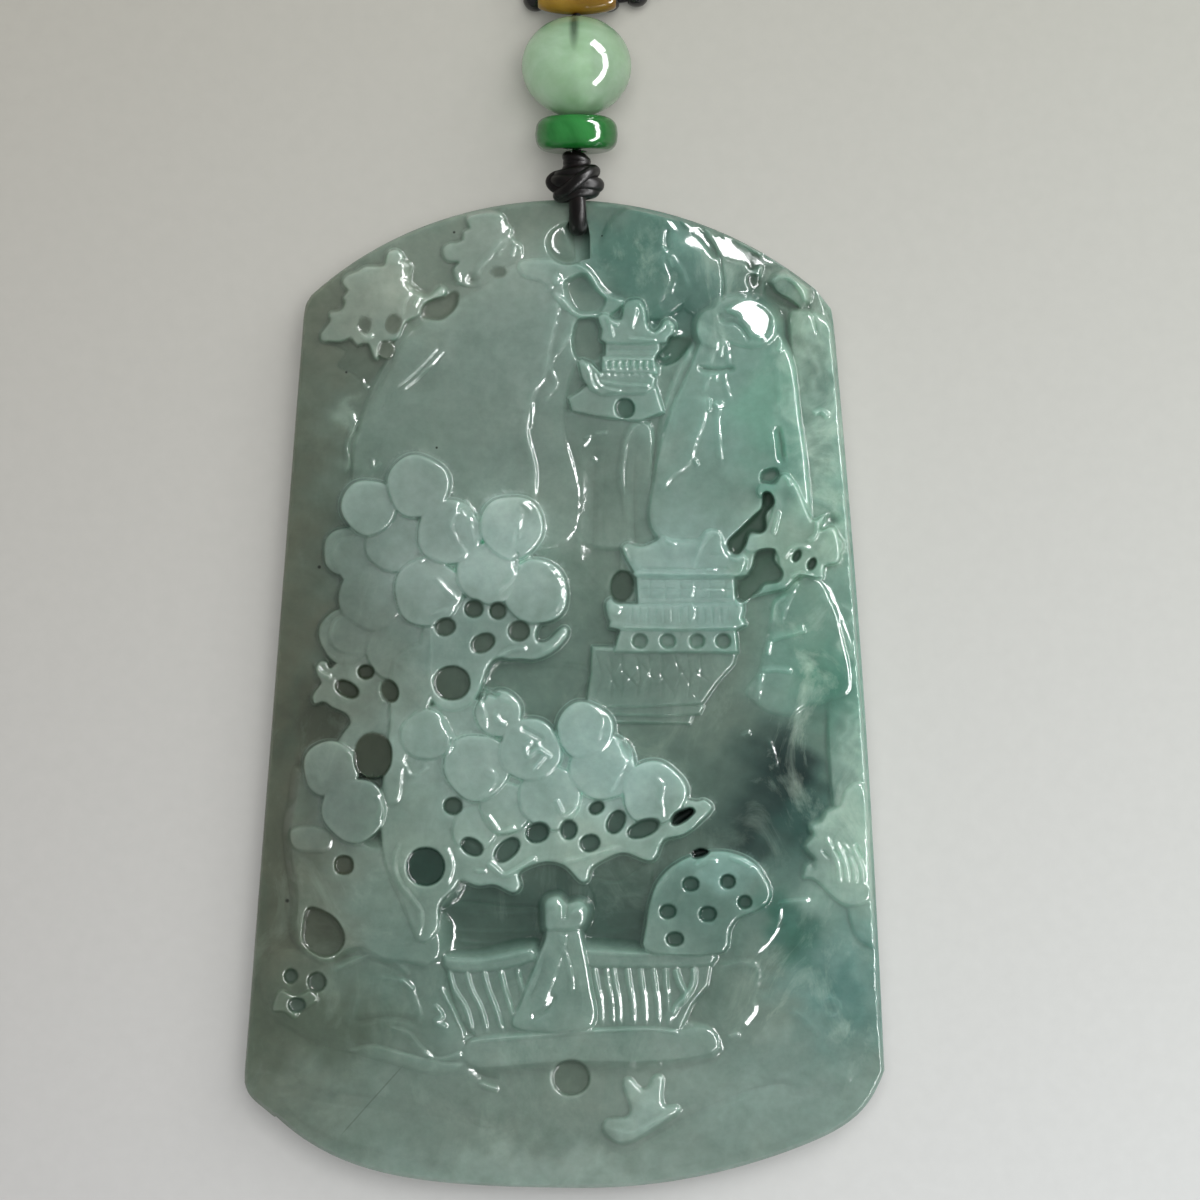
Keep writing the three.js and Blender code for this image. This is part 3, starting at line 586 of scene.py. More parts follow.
    def settle(self):
        """The finished relief: hollows kept shallow, and every edge eased by the polish."""
        h = self.h
        h = np.where(h > GROUND, GROUND + (h - GROUND) * 0.85, GROUND - (GROUND - h) * 0.62)
        for _ in range(1):
            h = 0.25 * np.roll(h, 1, 0) + 0.5 * h + 0.25 * np.roll(h, -1, 0)
            h = 0.25 * np.roll(h, 1, 1) + 0.5 * h + 0.25 * np.roll(h, -1, 1)
        self.h = h

    def step(self, P, dz, wide=30, sharp=2.0, ends=0.15, smooth=6):
        """A terrace: the right-hand side of the line stands dz higher and runs out over `wide` units."""
        line = curve(P, False, smooth)
        got = self.near(line, wide + 2)
        if not got:
            return
        w, u, v = got
        d, side, q = along(u, v, line)
        s = d * side
        rise = np.clip(s / sharp + 0.5, 0, 1)
        f = rise * np.clip(1 - s / wide, 0, 1) ** 1.2
        fade = np.clip(np.minimum(q, 1 - q) / max(ends, 1e-3), 0, 1) if ends else 1.0
        self.h[w] += dz * f * fade

    def drill(self, u0, v0, ru, rv=None, turn=0.0, floor=None, lip=3.0, fall=0.10, keep=0.1, power=2.0, deep=0.8, eye=1.0):
        """A drilled eye with a rounded lip, cut `deep` mm below the stone around it."""
        rv = rv or ru
        R = max(ru, rv) + lip + 3
        got = self.near([(u0 - R, v0 - R), (u0 + R, v0 + R)], 0)
        if not got:
            return
        w, u, v = got
        c, s = np.cos(turn), np.sin(turn)
        x, y = (u - u0) * c + (v - v0) * s, -(u - u0) * s + (v - v0) * c
        q = (np.abs(x / ru) ** power + np.abs(y / rv) ** power) ** (1 / power)
        d = (q - 1) * min(ru, rv)
        ring = (d > 0.5) & (d < 3)
        level = float(np.median(self.h[w][ring])) if ring.any() else 6.0
        bed = max(level - deep, 3.6)
        lipped = self.h[w] - fall * np.clip(1 - d / lip, 0, 1) ** 2 * (d > -2)
        cut = bed + keep * np.clip(q, 0, 1) ** 3 + np.maximum(d + 1.0, 0) * 0.8
        self.h[w] = np.where(d < -1.0, cut, np.minimum(lipped, np.where(d > lip + 2, 99, cut)))
        self.eye[w] = np.maximum(self.eye[w], eye * np.clip(0.4 - d / 1.6, 0, 1))

    def mark(self, P, wide=1.4, weight=0.4, smooth=6):
        """A thin dark line of painted shade, drawn into the eye mask."""
        line = curve(P, False, smooth)
        got = self.near(line, wide + 2)
        if got:
            w, u, v = got
            d, side, q = along(u, v, line)
            self.eye[w] = np.maximum(self.eye[w], weight * np.clip(1 - d / wide, 0, 1) * np.clip(np.minimum(q, 1 - q) / 0.1, 0, 1))

    def pit(self, P, floor, smooth=6, lip=2.5, fall=0.12, soft=6.0, tilt=(0, 0), wall=None, eye=0.0):
        """A hollow of any outline."""
        line = curve(P, True, smooth) if smooth else np.asarray(P, float)
        got = self.near(line, lip + 6)
        if not got:
            return
        w, u, v = got
        d = sdf(u, v, line)
        c = line.mean(0)
        lipped = self.h[w] - fall * np.clip(1 - d / lip, 0, 1) ** 2 * (d > -2)
        z = floor + tilt[0] * (u - c[0]) / 100 + tilt[1] * (v - c[1]) / 100
        cut = z + 0.25 * np.clip(1 + d / soft, 0, 1) ** 2 + np.maximum(d + 1.2, 0) * (wall or 1.0)
        self.h[w] = np.minimum(lipped, np.where(d > lip + 4, 99, cut))
        self.eye[w] = np.maximum(self.eye[w], eye * np.clip(0.4 - d / 1.6, 0, 1))

    def facet(self, P, azimuth=20, slope=0.62, soft=2.5, smooth=3, lift=0.0):
        """A flat polished facet that leans towards an azimuth, in degrees from the right."""
        line = curve(P, True, smooth) if smooth else np.asarray(P, float)
        got = self.near(line, 4)
        if not got:
            return
        w, u, v = got
        d = -sdf(u, v, line)
        a = np.radians(azimuth)
        plane = (u * -np.cos(a) + v * np.sin(a)) * slope * UNIT
        m = d > 0
        if not m.any():
            return
        base = np.percentile(self.h[w][m] - plane[m], 30) + lift
        f = np.clip(d / soft + 0.5, 0, 1)
        self.h[w] = self.h[w] * (1 - f) + (base + plane) * f

    def glint(self, P, wide=3.4, left=10, s=0.049, smooth=6, keep=0.5):
        """A polished edge that catches the window: a bevel of one steady slope on the lit side of a line."""
        wide *= 0.75
        wide = max(wide, 3.0) + 0.6
        line = curve(P, False, smooth)
        got = self.near(line, 2 + max(left, wide))
        if not got:
            return
        w, u, v = got
        d, side, q = along(u, v, line)
        h = self.h[w]
        bins = max(4, int(np.hypot(*np.diff(line, axis=0).T).sum() / 3))
        b = np.clip((q * bins).astype(int), 0, bins - 1)

        def level(m):
            n = np.bincount(b[m], minlength=bins)
            t = np.bincount(b[m], weights=h[m], minlength=bins)
            have = n > 0
            if not have.any():
                return None
            x = np.arange(bins)
            z = np.interp(x, x[have], t[have] / n[have])
            z = np.convolve(np.pad(z, 2, mode="edge"), np.ones(5) / 5, "valid")
            return np.interp(q * bins - 0.5, x, z)

        foot = level((side > 0) & (np.abs(d - wide) < 1.3))
        line_h = level(d < 1.3)
        if foot is None or line_h is None:
            return
        fade = np.clip(np.minimum(q, 1 - q) / 0.06, keep, 1) * (d < max(wide, left) + 1)
        bevel = foot + s * (wide - d)
        rise = (foot + s * wide - line_h) * np.clip(1 - d / left, 0, 1) ** 1.3
        new = np.where(side > 0, np.where(d < wide, bevel, h), h + rise)
        self.h[w] = h + (new - h) * fade


def background(c):
    """The recessed ground, the mountains and the cliff."""
    # the ground steps down a little behind the scene
    c.swell(330, 620, 40, 330, -0.15)
    c.swell(600, 690, 120, 60, -0.35)
    c.swell(545, 930, 120, 60, -0.4)
    c.swell(640, 560, 90, 120, -0.2)
    # the broad left mountain, falling to the left
    c.plate([(566, 262), (520, 262), (486, 282), (458, 302), (424, 322), (400, 345), (390, 372), (376, 392), (362, 420), (354, 452), (352, 500), (380, 540), (470, 548), (560, 545), (580, 500), (566, 430), (570, 380), (590, 340), (598, 300)],
            5.5, r=16, rv=0.35, tilt=(0.5, -0.1), wall=0.03, k=0.3)
    c.step([(404, 322), (394, 342), (388, 358), (380, 372), (371, 391), (364, 409), (358, 430), (353, 452), (352, 484)], 0.3, 70, 2.5, ends=0.08)
    c.swell(440, 330, 40, 26, 0.12)
    # the ledge beside it and its fall of water, between the two ridge lines
    c.plate([(556, 296), (553, 335), (546, 362), (540, 384), (529, 410), (527, 432), (534, 470), (533, 505), (566, 540), (640, 545), (690, 500), (700, 400), (690, 350), (650, 330), (610, 318), (580, 316)],
            5.25, r=6, rv=0.2, tilt=(0.1, 0.0), wall=0.08, k=0.3)
    # the far dome and its pale shoulder
    c.mound(648, 262, 50, 58, 4.6, 5.5, turn=-0.2, k=0.25, p=2.6)
    c.mound(704, 262, 44, 60, 4.3, 5.5, turn=-0.35, k=0.5, p=2.0)
    # the right mountain
    c.plate([(748, 302), (766, 310), (776, 330), (792, 362), (798, 410), (806, 470), (806, 530), (770, 575), (690, 558), (652, 528), (654, 480), (668, 420), (686, 378), (700, 344), (710, 320), (726, 306)],
            6.1, r=8, rv=0.3, tilt=(0.1, 0.25), crown=0.2, wall=0.3, k=0.4)
    # the strands of rock down the right-hand edge
    c.plate([(790, 318), (806, 312), (822, 318), (850, 345), (862, 400), (872, 470), (882, 540), (890, 640), (898, 740), (904, 850), (906, 930), (860, 940), (840, 860), (830, 760), (826, 660), (812, 560), (806, 470), (800, 400)],
            5.35, r=8, rv=0.3, tilt=(0.2, 0), wall=0.2, k=0.3)
    for k, (u0, s) in enumerate(((806, 0.0), (820, 0.35), (832, 0.8))):
        c.crest([(u0 - 18 + 6 * k, 352), (u0 - 7, 380), (u0 - 6, 400), (u0 + 2, 455), (u0 + 5, 510), (u0 + 10 + 3 * s, 556)], 0.07, 10, 8, ends=0.2)
    c.crest([(787, 352), (797, 400), (799, 424), (806, 448), (815, 466), (819, 492)], 0.08, 10, 8)
    c.crest([(777, 358), (780, 385), (781, 420)], 0.08, 5, 3)
    c.crest([(779, 332), (782, 342), (779, 353)], 0.3, 4, 3)


def head(c):
    """The top edge: leaf clumps, swirls, the plateau, the ridge lines and the far dome."""
    # leaf clump at the corner
    c.plate([(321, 334), (330, 322), (330, 313), (340, 311), (345, 304), (344, 297), (348, 291), (343, 283), (347, 276), (357, 272), (366, 267), (384, 266), (387, 256), (395, 251), (402, 256), (404, 263), (411, 266), (409, 281), (418, 290), (428, 294), (440, 286), (446, 292), (436, 300), (424, 304), (420, 314), (405, 322), (398, 338), (384, 342), (379, 352), (376, 361), (369, 352), (364, 343), (357, 345), (350, 338), (338, 343), (324, 342)],
            5.5, r=4, rv=0.2, tilt=(0.25, -0.1), smooth=3, wall=0.5)
    c.swell(384, 290, 18, 16, 0.2)
    c.disc(395, 258, 8.5, 5.75, re=4, rv=0.25, crown=0.1)
    c.glint([(404, 262), (409, 268), (405, 280), (411, 290), (404, 303), (402, 316)], 2.8, 7)
    c.glint([(404, 281), (414, 289), (427, 295), (437, 288), (442, 286)], 2.8, 4)
    c.crest([(421, 294), (414, 308)], 0.25, 3, 3)
    c.crest([(357, 326), (362, 334), (368, 337), (374, 334)], 0.3, 4, 3)
    c.drill(364.5, 325, 7, 8.5, 0.2, power=2.4, deep=0.12, fall=0.02)
    c.drill(393.5, 324, 8.5, 10, 0.3, power=2.4, deep=0.12, fall=0.02)
    c.drill(386, 350, 9, 10, 0.2, power=2.4, deep=0.12, fall=0.02)
    c.pit([(323, 342), (345, 342), (350, 339), (357, 346), (368, 344), (374, 358), (384, 362), (376, 374), (366, 384), (352, 374), (336, 366), (345, 352)], 4.2, smooth=3, eye=0.75, wall=0.4)
    c.pit([(423, 318), (422, 308), (430, 300), (445, 296), (453, 291), (459, 294), (457, 305), (450, 314), (440, 320)], 4.35, smooth=4, eye=0.8, wall=0.4)
    # leaf clump at the top
    c.plate([(467, 219), (476, 214), (497, 213), (504, 218), (505, 224), (511, 229), (512, 238), (522, 247), (521, 262), (506, 268), (484, 286), (460, 284), (454, 270), (459, 262), (448, 261), (443, 254), (445, 246), (456, 243), (463, 240), (464, 232), (470, 228)],
            5.45, r=4, rv=0.2, tilt=(0.3, 0.1), smooth=3, wall=0.5)
    c.disc(453, 252, 9.5, 5.4, re=4, rv=0.2, crown=0.1)
    c.swell(490, 240, 16, 14, 0.15)
    c.glint([(500, 220), (506, 229), (508, 238), (502, 247), (497, 256)], 3.4, 7)
    c.glint([(503, 240), (494, 250), (487, 259), (480, 268), (478, 276)], 3.0, 6)
    c.crest([(511, 238), (515, 243), (522, 248)], 0.25, 3, 4)
    c.crest([(515, 244), (512, 258)], 0.2, 3, 3)
    c.drill(499, 272, 8.5, 6, 0.0, deep=0.12, fall=0.02, eye=0.6)
    c.swell(472, 280, 6, 6, -0.5)
    c.crest([(458, 272), (459, 280), (456, 286)], 0.25, 3, 3)
    # the plateau above the left mountain: an open cup between two lips
    c.plate([(520, 262), (545, 259), (570, 262), (584, 266), (596, 278), (602, 290), (614, 297), (625, 301), (612, 314), (598, 316), (580, 318), (562, 306), (552, 294), (540, 282), (522, 276)],
            6.2, r=4.5, rv=0.35, smooth=4)
    c.pit([(566, 287), (574, 278), (586, 276), (597, 290), (606, 300), (600, 311), (586, 314), (574, 308)], 5.1, smooth=5, tilt=(0.8, 0.8), wall=0.25, soft=12)
    c.crest([(560, 262), (576, 264), (589, 272), (598, 286), (608, 295), (622, 301)], 0.3, 4, 4, ends=0.08)
    c.crest([(582, 274), (590, 281), (597, 291)], 0.25, 3, 3)
    c.crest([(552, 293), (563, 300), (573, 311), (584, 315), (597, 313)], 0.35, 4, 3.5, ends=0.08)
    c.crest([(556, 297), (563, 306), (568, 310)], 0.25, 3, 3)
    c.swell(557, 279, 4.5, 5, 0.45)
    c.crest([(545, 291), (553, 286)], 0.2, 3, 3)
    # the two ridge lines
    c.crest([(555, 301), (557, 311), (554, 325), (550, 340), (547, 360), (543, 378), (534, 390), (530, 405), (529, 414)], 0.2, 26, 6, ends=0.04, p=1.6)
    c.glint([(555, 301), (557, 311), (554, 325), (550, 340), (547, 360), (543, 378), (534, 390), (530, 405), (527, 424), (527, 436), (531, 452), (535, 470), (534, 499)], 3.4, 9)
    c.crest([(529, 408), (526, 424), (527, 436), (531, 450), (535, 470), (535, 484), (534, 499)], 0.15, 16, 6, ends=0.08, p=1.6)
    c.crest([(532, 402), (532, 418), (530, 430)], 0.2, 2, 3)
    c.glint([(572, 320), (576, 330), (567, 338), (562, 346), (553, 358), (550, 368), (555, 378), (556, 386), (549, 395), (545, 403)], 2.6, 8)
    # the scored lines on the left mountain
    for a, b in (((440, 349), (398, 389)), ((446, 352), (404, 392))):
        c.crest([a, ((a[0] + b[0]) / 2 + 1, (a[1] + b[1]) / 2 + 2), b], -0.12, 1.6, 1.6, ends=0.05, p=1)
        c.crest([(a[0] - 2, a[1] - 2), ((a[0] + b[0]) / 2 - 2, (a[1] + b[1]) / 2 + 0), (b[0] - 2, b[1] - 2)], 0.12, 2, 2, ends=0.05, p=1)
    for k in range(5):
        c.crest([(388 + 4 * k, 396 - 2 * k), (380 + 4 * k, 412 - 2 * k)], -0.08, 1.5, 1.5, ends=0.1, p=1)
    c.swell(426, 384, 17, 12, -0.3, turn=-0.5, soft=1.6)
    c.swell(470, 342, 10, 10, -0.15)
    c.crest([(361, 379), (365, 385), (369, 389)], 0.25, 3, 3)
    c.crest([(352, 410), (354, 424), (350, 436), (347, 448), (349, 462), (345, 474)], 0.3, 5, 3, ends=0.1)
    c.crest([(357, 418), (354, 430), (349, 440)], 0.2, 2, 3)
    c.crest([(372, 458), (374, 468), (381, 462)], 0.2, 3, 3)
    # the far dome: its cleft and folds of light
    c.crest([(662, 246), (667, 254)], 0.2, 3, 3)
    c.glint([(666, 254), (663, 262), (667, 274), (668, 284), (664, 294), (659, 301), (661, 309)], 3.2, 9)
    c.glint([(669, 254), (677, 262), (683, 272), (687, 284)], 2.2, 6)
    c.crest([(669, 258), (673, 267)], 0.2, 3, 3)
    c.crest([(675, 280), (670, 294)], 0.15, 3, 3)
    c.crest([(668, 228), (666, 240), (668, 250)], -0.25, 4, 5, ends=0.15)
    c.swell(684, 240, 12, 14, 0.25)
    c.swell(610, 292, 10, 8, -0.3)


def shoulder(c):
    """The polished shoulder at the top right, with its swirled corner."""
    # the flat polished facet that leans to the upper right
    w = (c.u > 655) & (c.v < 345)
    n = np.array([0.47, -0.88])
    d = (c.u - 740) * n[0] + (c.v - 245) * n[1]
    lean = np.clip((d + 26) / 26, 0, 2) * 0.85
    f = np.clip((c.u - 668) / 14, 0, 1) * np.clip((835 - c.u) / 20, 0, 1)
    c.h -= np.where(w, lean * f, 0)
    c.crest([(701, 226), (712, 238), (718, 250), (721, 262), (724, 284), (722, 302)], -0.4, 3, 3, ends=0.05)
    c.mound(738, 268, 24, 30, 4.2, 5.1, turn=0.2, k=0.4, p=3)
    c.pit([(747, 254), (757, 253), (761, 262), (756, 270), (748, 268)], 4.35, smooth=4, eye=0.8, wall=0.4)
    c.pit([(748, 275), (757, 274), (761, 285), (752, 289), (747, 283)], 4.45, smooth=4, eye=0.7, wall=0.4)
    c.mound(790, 290, 24, 18, 4.0, 5.4, turn=0.6, k=0.3, p=2.5)
    c.crest([(770, 283), (780, 276), (792, 279), (802, 290), (807, 304)], 0.5, 4, 6, ends=0.08)
    for k in range(4):
        c.crest([(768 + 5 * k, 290 + 3 * k), (776 + 5 * k, 296 + 3 * k), (782 + 6 * k, 306 + 2 * k)], -0.3, 2.2, 2.2, ends=0.2)
    c.pit([(764, 284), (770, 282), (778, 292), (792, 300), (800, 308), (790, 310), (774, 302), (764, 294)], 3.8, smooth=4)
    c.crest([(806, 300), (814, 318), (818, 335)], -0.3, 3, 3)
    c.swell(802, 325, 14, 14, 0.25)
    c.swell(797, 344, 6, 9, -0.35)
    c.swell(822, 388, 14, 20, -0.25, turn=-0.3)
    c.facet([(680, 219), (690, 220), (700, 229), (709, 238), (716, 249), (718, 257), (712, 256), (705, 246), (697, 237), (688, 230)], 34, 0.72, soft=2)
    c.facet([(705, 228), (735, 240), (768, 259), (772, 264), (758, 266), (738, 262), (722, 256), (712, 240)], 46, 0.72, soft=2)
    c.crest([(813, 414), (821, 411), (829, 417)], 0.45, 4, 4)


def mountain(c):
    """The faces of the right mountain."""
    c.mound(744, 322, 34, 24, 6.0, 6.7, turn=0.35, k=0.6, p=2.4)
    c.mound(714, 328, 18, 20, 5.8, 6.4, turn=0.0, k=0.5, p=2.4)
    c.facet([(727, 309), (745, 299), (762, 305), (772, 316), (768, 332), (760, 339), (749, 332), (738, 316)], 30, 0.69, soft=4, lift=0.2)
    c.crest([(700, 318), (697, 336), (690, 352), (678, 376), (668, 402), (660, 440), (656, 474)], 0.35, 5, 14, ends=0.08)
    c.crest([(719, 312), (723, 321), (734, 322), (744, 330), (750, 342)], -0.3, 4, 4, ends=0.1)
    c.glint([(719, 339), (714, 352), (709, 364)], 3.4, 7)
    c.crest([(723, 343), (720, 358)], 0.25, 3, 3)
    c.glint([(723, 338), (727, 350), (729, 364)], 3.2, 4)
    c.crest([(697, 367), (715, 370), (736, 368)], -0.6, 5, 4, ends=0.15)
    c.glint([(716, 373), (708, 378), (705, 389)], 3.2, 6)
    c.crest([(716, 374), (716, 382)], 0.2, 3, 3)
    c.glint([(725, 373), (726, 386), (730, 399)], 3.2, 4)
    c.crest([(706, 396), (705, 408), (702, 424), (696, 438), (692, 452), (690, 460), (682, 468), (670, 477), (663, 490)], 0.2, 26, 7, ends=0.04, p=1.5)
    c.glint([(706, 396), (705, 408), (702, 424), (696, 438), (692, 452), (690, 460), (682, 468), (670, 477), (663, 490)], 3.2, 9)
    c.crest([(710, 398), (709, 412)], 0.3, 3, 3)
    c.crest([(714, 402), (718, 406), (723, 402)], 0.35, 4, 4)
    c.glint([(718, 404), (718, 424), (719, 440), (721, 462)], 2.6, 5)
    c.crest([(695, 459), (698, 466)], 0.3, 3, 3)
    c.swell(742, 500, 22, 14, -0.35, soft=1.5)
    c.swell(712, 515, 8, 6, 0.15)
    c.crest([(778, 425), (781, 442), (783, 464)], -0.75, 7, 5, ends=0.2)
    c.pit([(762, 472), (776, 468), (779, 476), (772, 483), (762, 484)], 5.0, smooth=4, wall=0.8)
    # the bough that reaches in from the right
    c.plate([(757, 490), (762, 483), (775, 484), (782, 474), (790, 476), (798, 488), (812, 520), (824, 516), (820, 530), (834, 527), (840, 548), (838, 562), (824, 566), (822, 578), (800, 575), (786, 588), (770, 592), (752, 596), (740, 606), (736, 600), (744, 590), (762, 584), (778, 574), (776, 552), (760, 552), (748, 552), (742, 542), (752, 534), (764, 530), (772, 512), (773, 500), (766, 495), (760, 497)],
            7.15, r=4, rv=0.35, tilt=(0.2, 0), smooth=3)
    c.pit([(763, 494), (770, 493), (774, 503), (766, 514), (766, 528), (760, 533), (750, 533), (745, 546), (738, 554), (730, 551), (728, 541), (741, 528), (753, 516), (762, 507)], 4.6, smooth=4, eye=0.9)
    c.pit([(757, 552), (774, 550), (774, 560), (782, 572), (778, 581), (764, 584), (758, 592), (744, 602), (736, 598), (734, 588), (742, 580), (752, 568)], 4.3, smooth=4, eye=0.6)
    c.drill(812, 564, 4.5, 7, 0.4)
    c.drill(797, 556, 4, 7, 0.5)
    c.swell(786, 500, 9, 12, -0.45)
    c.crest([(779, 511), (776, 524), (773, 535)], 0.35, 3, 3)
    c.crest([(783, 475), (788, 478), (790, 486)], 0.3, 3, 3)
    c.crest([(806, 541), (814, 538), (818, 528), (816, 516)], 0.35, 4, 3)
    c.crest([(783, 560), (790, 550), (800, 546), (812, 550)], 0.25, 4, 3)
    c.disc(828, 546, 15, 7.3, tilt=(-0.1, 0.1), re=5, rv=0.4, crown=0.25)
    c.crest([(790, 577), (800, 573), (812, 575)], 0.3, 3, 3)
    c.swell(832, 520, 8, 6, -0.6)


def pavilions(c):
    # ---- the upper pavilion, on its fluted cliff
    c.plate([(563, 420), (567, 412), (573, 410), (600, 415), (622, 421), (645, 421), (650, 440), (648, 480), (650, 545), (650, 640), (562, 650), (562, 545)], 5.3, r=5, rv=0.25, smooth=2, tilt=(0, -0.72), wall=0.14)
    c.plate([(640, 424), (627, 436), (624, 456), (622, 490), (621, 545), (622, 600), (640, 600), (650, 545), (652, 470), (652, 430)], 5.45, r=5, rv=0.25, smooth=3, tilt=(0, -0.7), wall=0.14)
    c.crest([(574, 411), (600, 416), (622, 420), (640, 420)], 0.2, 3, 3, ends=0.05)
    c.glint([(642, 423), (632, 429), (626, 440), (624, 455), (622, 472), (623, 491)], 2.6, 6)
    c.crest([(582, 424), (580, 440), (583, 470), (581, 520), (580, 580)], 0.1, 7, 5)
    c.crest([(596, 440), (594, 500), (592, 590)], -0.14, 9, 9, ends=0.2)
    c.crest([(607, 440), (604, 480), (602, 560)], -0.08, 5, 5, ends=0.2)
    c.crest([(637, 440), (634, 480), (635, 560)], -0.14, 6, 6, ends=0.2)
    c.crest([(594, 434), (608, 432)], 0.2, 2.5, 2.5)
    c.crest([(583, 440), (590, 437), (582, 447)], 0.2, 3, 3)
    c.crest([(592, 458), (597, 461)], 0.3, 3, 3)
    # lower storey: wall, rail and the long eave
    c.plate([(586, 386), (656, 386), (664, 412), (640, 421), (600, 417), (572, 411), (568, 398), (578, 392)], 6.7, r=4, rv=0.3, smooth=1)
    c.pit([(577, 320), (596, 318), (604, 330), (606, 345), (602, 356), (592, 362), (578, 360), (572, 345)], 4.9, smooth=4, wall=0.7)
    c.plate([(578, 361), (582, 359), (590, 362), (600, 372), (606, 374), (652, 374), (656, 378), (654, 388), (646, 394), (600, 395), (590, 390), (582, 378)], 7.15, r=3.5, rv=0.35, smooth=1)
    c.crest([(584, 362), (589, 372), (592, 384), (597, 390)], 0.3, 3, 3, ends=0.05)
    c.crest([(590, 363), (598, 371), (601, 376)], 0.3, 3, 3, ends=0.08)
    c.crest([(594, 372), (597, 382), (604, 388), (622, 392)], 0.25, 2.5, 2.5, ends=0.05)
    c.crest([(599, 381), (620, 384), (650, 386)], 0.25, 2.5, 2.5, ends=0.05)
    c.plate([(602, 356), (657, 356), (658, 374), (601, 374)], 7.0, r=2, rv=0.2, smooth=0)
    c.crest([(603, 361), (613, 359), (657, 359)], 0.3, 2.2, 2.2, ends=0.02)
    c.crest([(601, 369), (620, 371), (657, 371)], 0.25, 2.2, 2.2, ends=0.02)
    for k in range(8):
        u0 = 606 + 6.8 * k
        c.swell(u0, 365, 1.9, 3.4, 0.35)
        c.swell(u0 + 3.4, 365, 1.3, 3.0, -0.35)
        c.swell(u0 + 1, 374.5, 2.0, 1.6, 0.2)
    # upper storey: wall and roof with its finial
    c.plate([(606, 340), (660, 340), (660, 357), (605, 357)], 7.0, r=2, rv=0.2, smooth=0)
    c.plate([(598, 318), (602, 314), (608, 315), (614, 319), (621, 319), (623, 310), (626, 302), (634, 299), (642, 301), (646, 311), (648, 326), (654, 332), (660, 328), (664, 321), (670, 320), (675, 326), (672, 336), (664, 343), (606, 343), (602, 330)],
            7.5, r=4, rv=0.4, smooth=3)
    c.swell(634, 312, 7, 12, 0.3)
    c.crest([(607, 316), (612, 322), (619, 325)], 0.3, 3, 3)
    c.crest([(608, 318), (611, 330), (613, 338)], 0.25, 3, 3)
    c.crest([(638, 301), (643, 310), (645, 322)], 0.3, 3, 3)
    c.crest([(637, 308), (633, 320), (632, 330)], 0.2, 3, 3)
    c.crest([(648, 332), (658, 331), (666, 323)], 0.3, 3, 3)
    c.swell(669, 323, 3.5, 3, 0.35)
    c.crest([(628, 338), (640, 339), (656, 340)], 0.25, 2.2, 2.2, ends=0.05)
    c.crest([(604, 350), (658, 350)], -0.15, 2.5, 2.5)
    c.drill(625, 408.5, 10, 10.5, power=2.1)
    c.pit([(656, 362), (658, 354), (667, 344), (671, 337), (686, 336), (693, 340), (684, 354), (676, 362), (664, 366)], 4.3, smooth=4, eye=1.0)
    c.crest([(660, 352), (663, 358), (671, 355)], 0.3, 2.5, 2.5)

    # ---- the middle pavilion on its stone base
    c.plate([(592, 646), (704, 646), (738, 650), (734, 664), (716, 684), (702, 704), (640, 707), (586, 706), (590, 676)], 5.4, r=4, rv=0.2, smooth=1, wall=0.9)
    c.plate([(586, 704), (704, 706), (700, 714), (660, 716), (590, 714)], 5.05, r=3, rv=0.12, smooth=1, wall=0.9)
    c.plate([(590, 712), (694, 714), (690, 724), (592, 722)], 4.75, r=3, rv=0.12, smooth=1, wall=0.9)
    for k in range(9):
        a = 596 + 13 * k
        c.crest([(a, 652), (a + 5 - 2 * (k % 3), 676), (a - 2 + 3 * (k % 2), 700)], -0.1, 2, 2, ends=0.1)
    for k in range(6):
        c.crest([(604 + 18 * k, 662 + 8 * (k % 2)), (620 + 18 * k, 694 - 6 * (k % 3))], -0.1, 2, 2, ends=0.1)
        c.crest([(622 + 16 * k, 660 + 5 * (k % 2)), (606 + 17 * k, 690 - 5 * (k % 2))], 0.1, 2, 2, ends=0.1)
    c.crest([(592, 648), (640, 650), (700, 651), (736, 653)], 0.25, 2.2, 2.2, ends=0.02)
    # the pierced rail
    c.plate([(620, 630), (736, 630), (738, 652), (614, 652)], 6.1, r=3, rv=0.2, smooth=0, wall=0.9)
    # second roof
    c.plate([(606, 607), (608, 600), (616, 598), (624, 602), (634, 604), (730, 602), (738, 600), (744, 606), (742, 618), (736, 630), (622, 630), (610, 622)], 6.6, r=6, rv=0.4, smooth=2, wall=0.9)
    c.disc(615, 609, 9, 6.8, re=5, rv=0.4, crown=0.2)
    for k in range(13):
        c.crest([(632 + 8 * k, 606), (631 + 8.2 * k, 624)], -0.12, 1.6, 1.6, ends=0.1)
    c.crest([(622, 627), (680, 628), (736, 627)], 0.22, 2.2, 2.2, ends=0.03)
    c.crest([(690, 600), (694, 612), (690, 622)], 0.2, 2, 2)
    # wall between the roofs
    c.plate([(636, 574), (734, 572), (736, 604), (638, 604)], 6.4, r=3, rv=0.2, smooth=0, wall=0.9)
    for k, v0 in enumerate((580, 589, 598)):
        c.crest([(640, v0), (733, v0)], -0.14 + 0.02 * k, 1.8, 1.8, ends=0.03)
    for k in range(6):
        c.crest([(650 + 15 * k, 580), (650 + 15 * k, 600)], -0.1, 1.6, 1.6, ends=0.05)
    c.crest([(702, 590), (724, 590)], 0.2, 2, 2)
    c.crest([(694, 585), (690, 598)], 0.2, 2, 2)
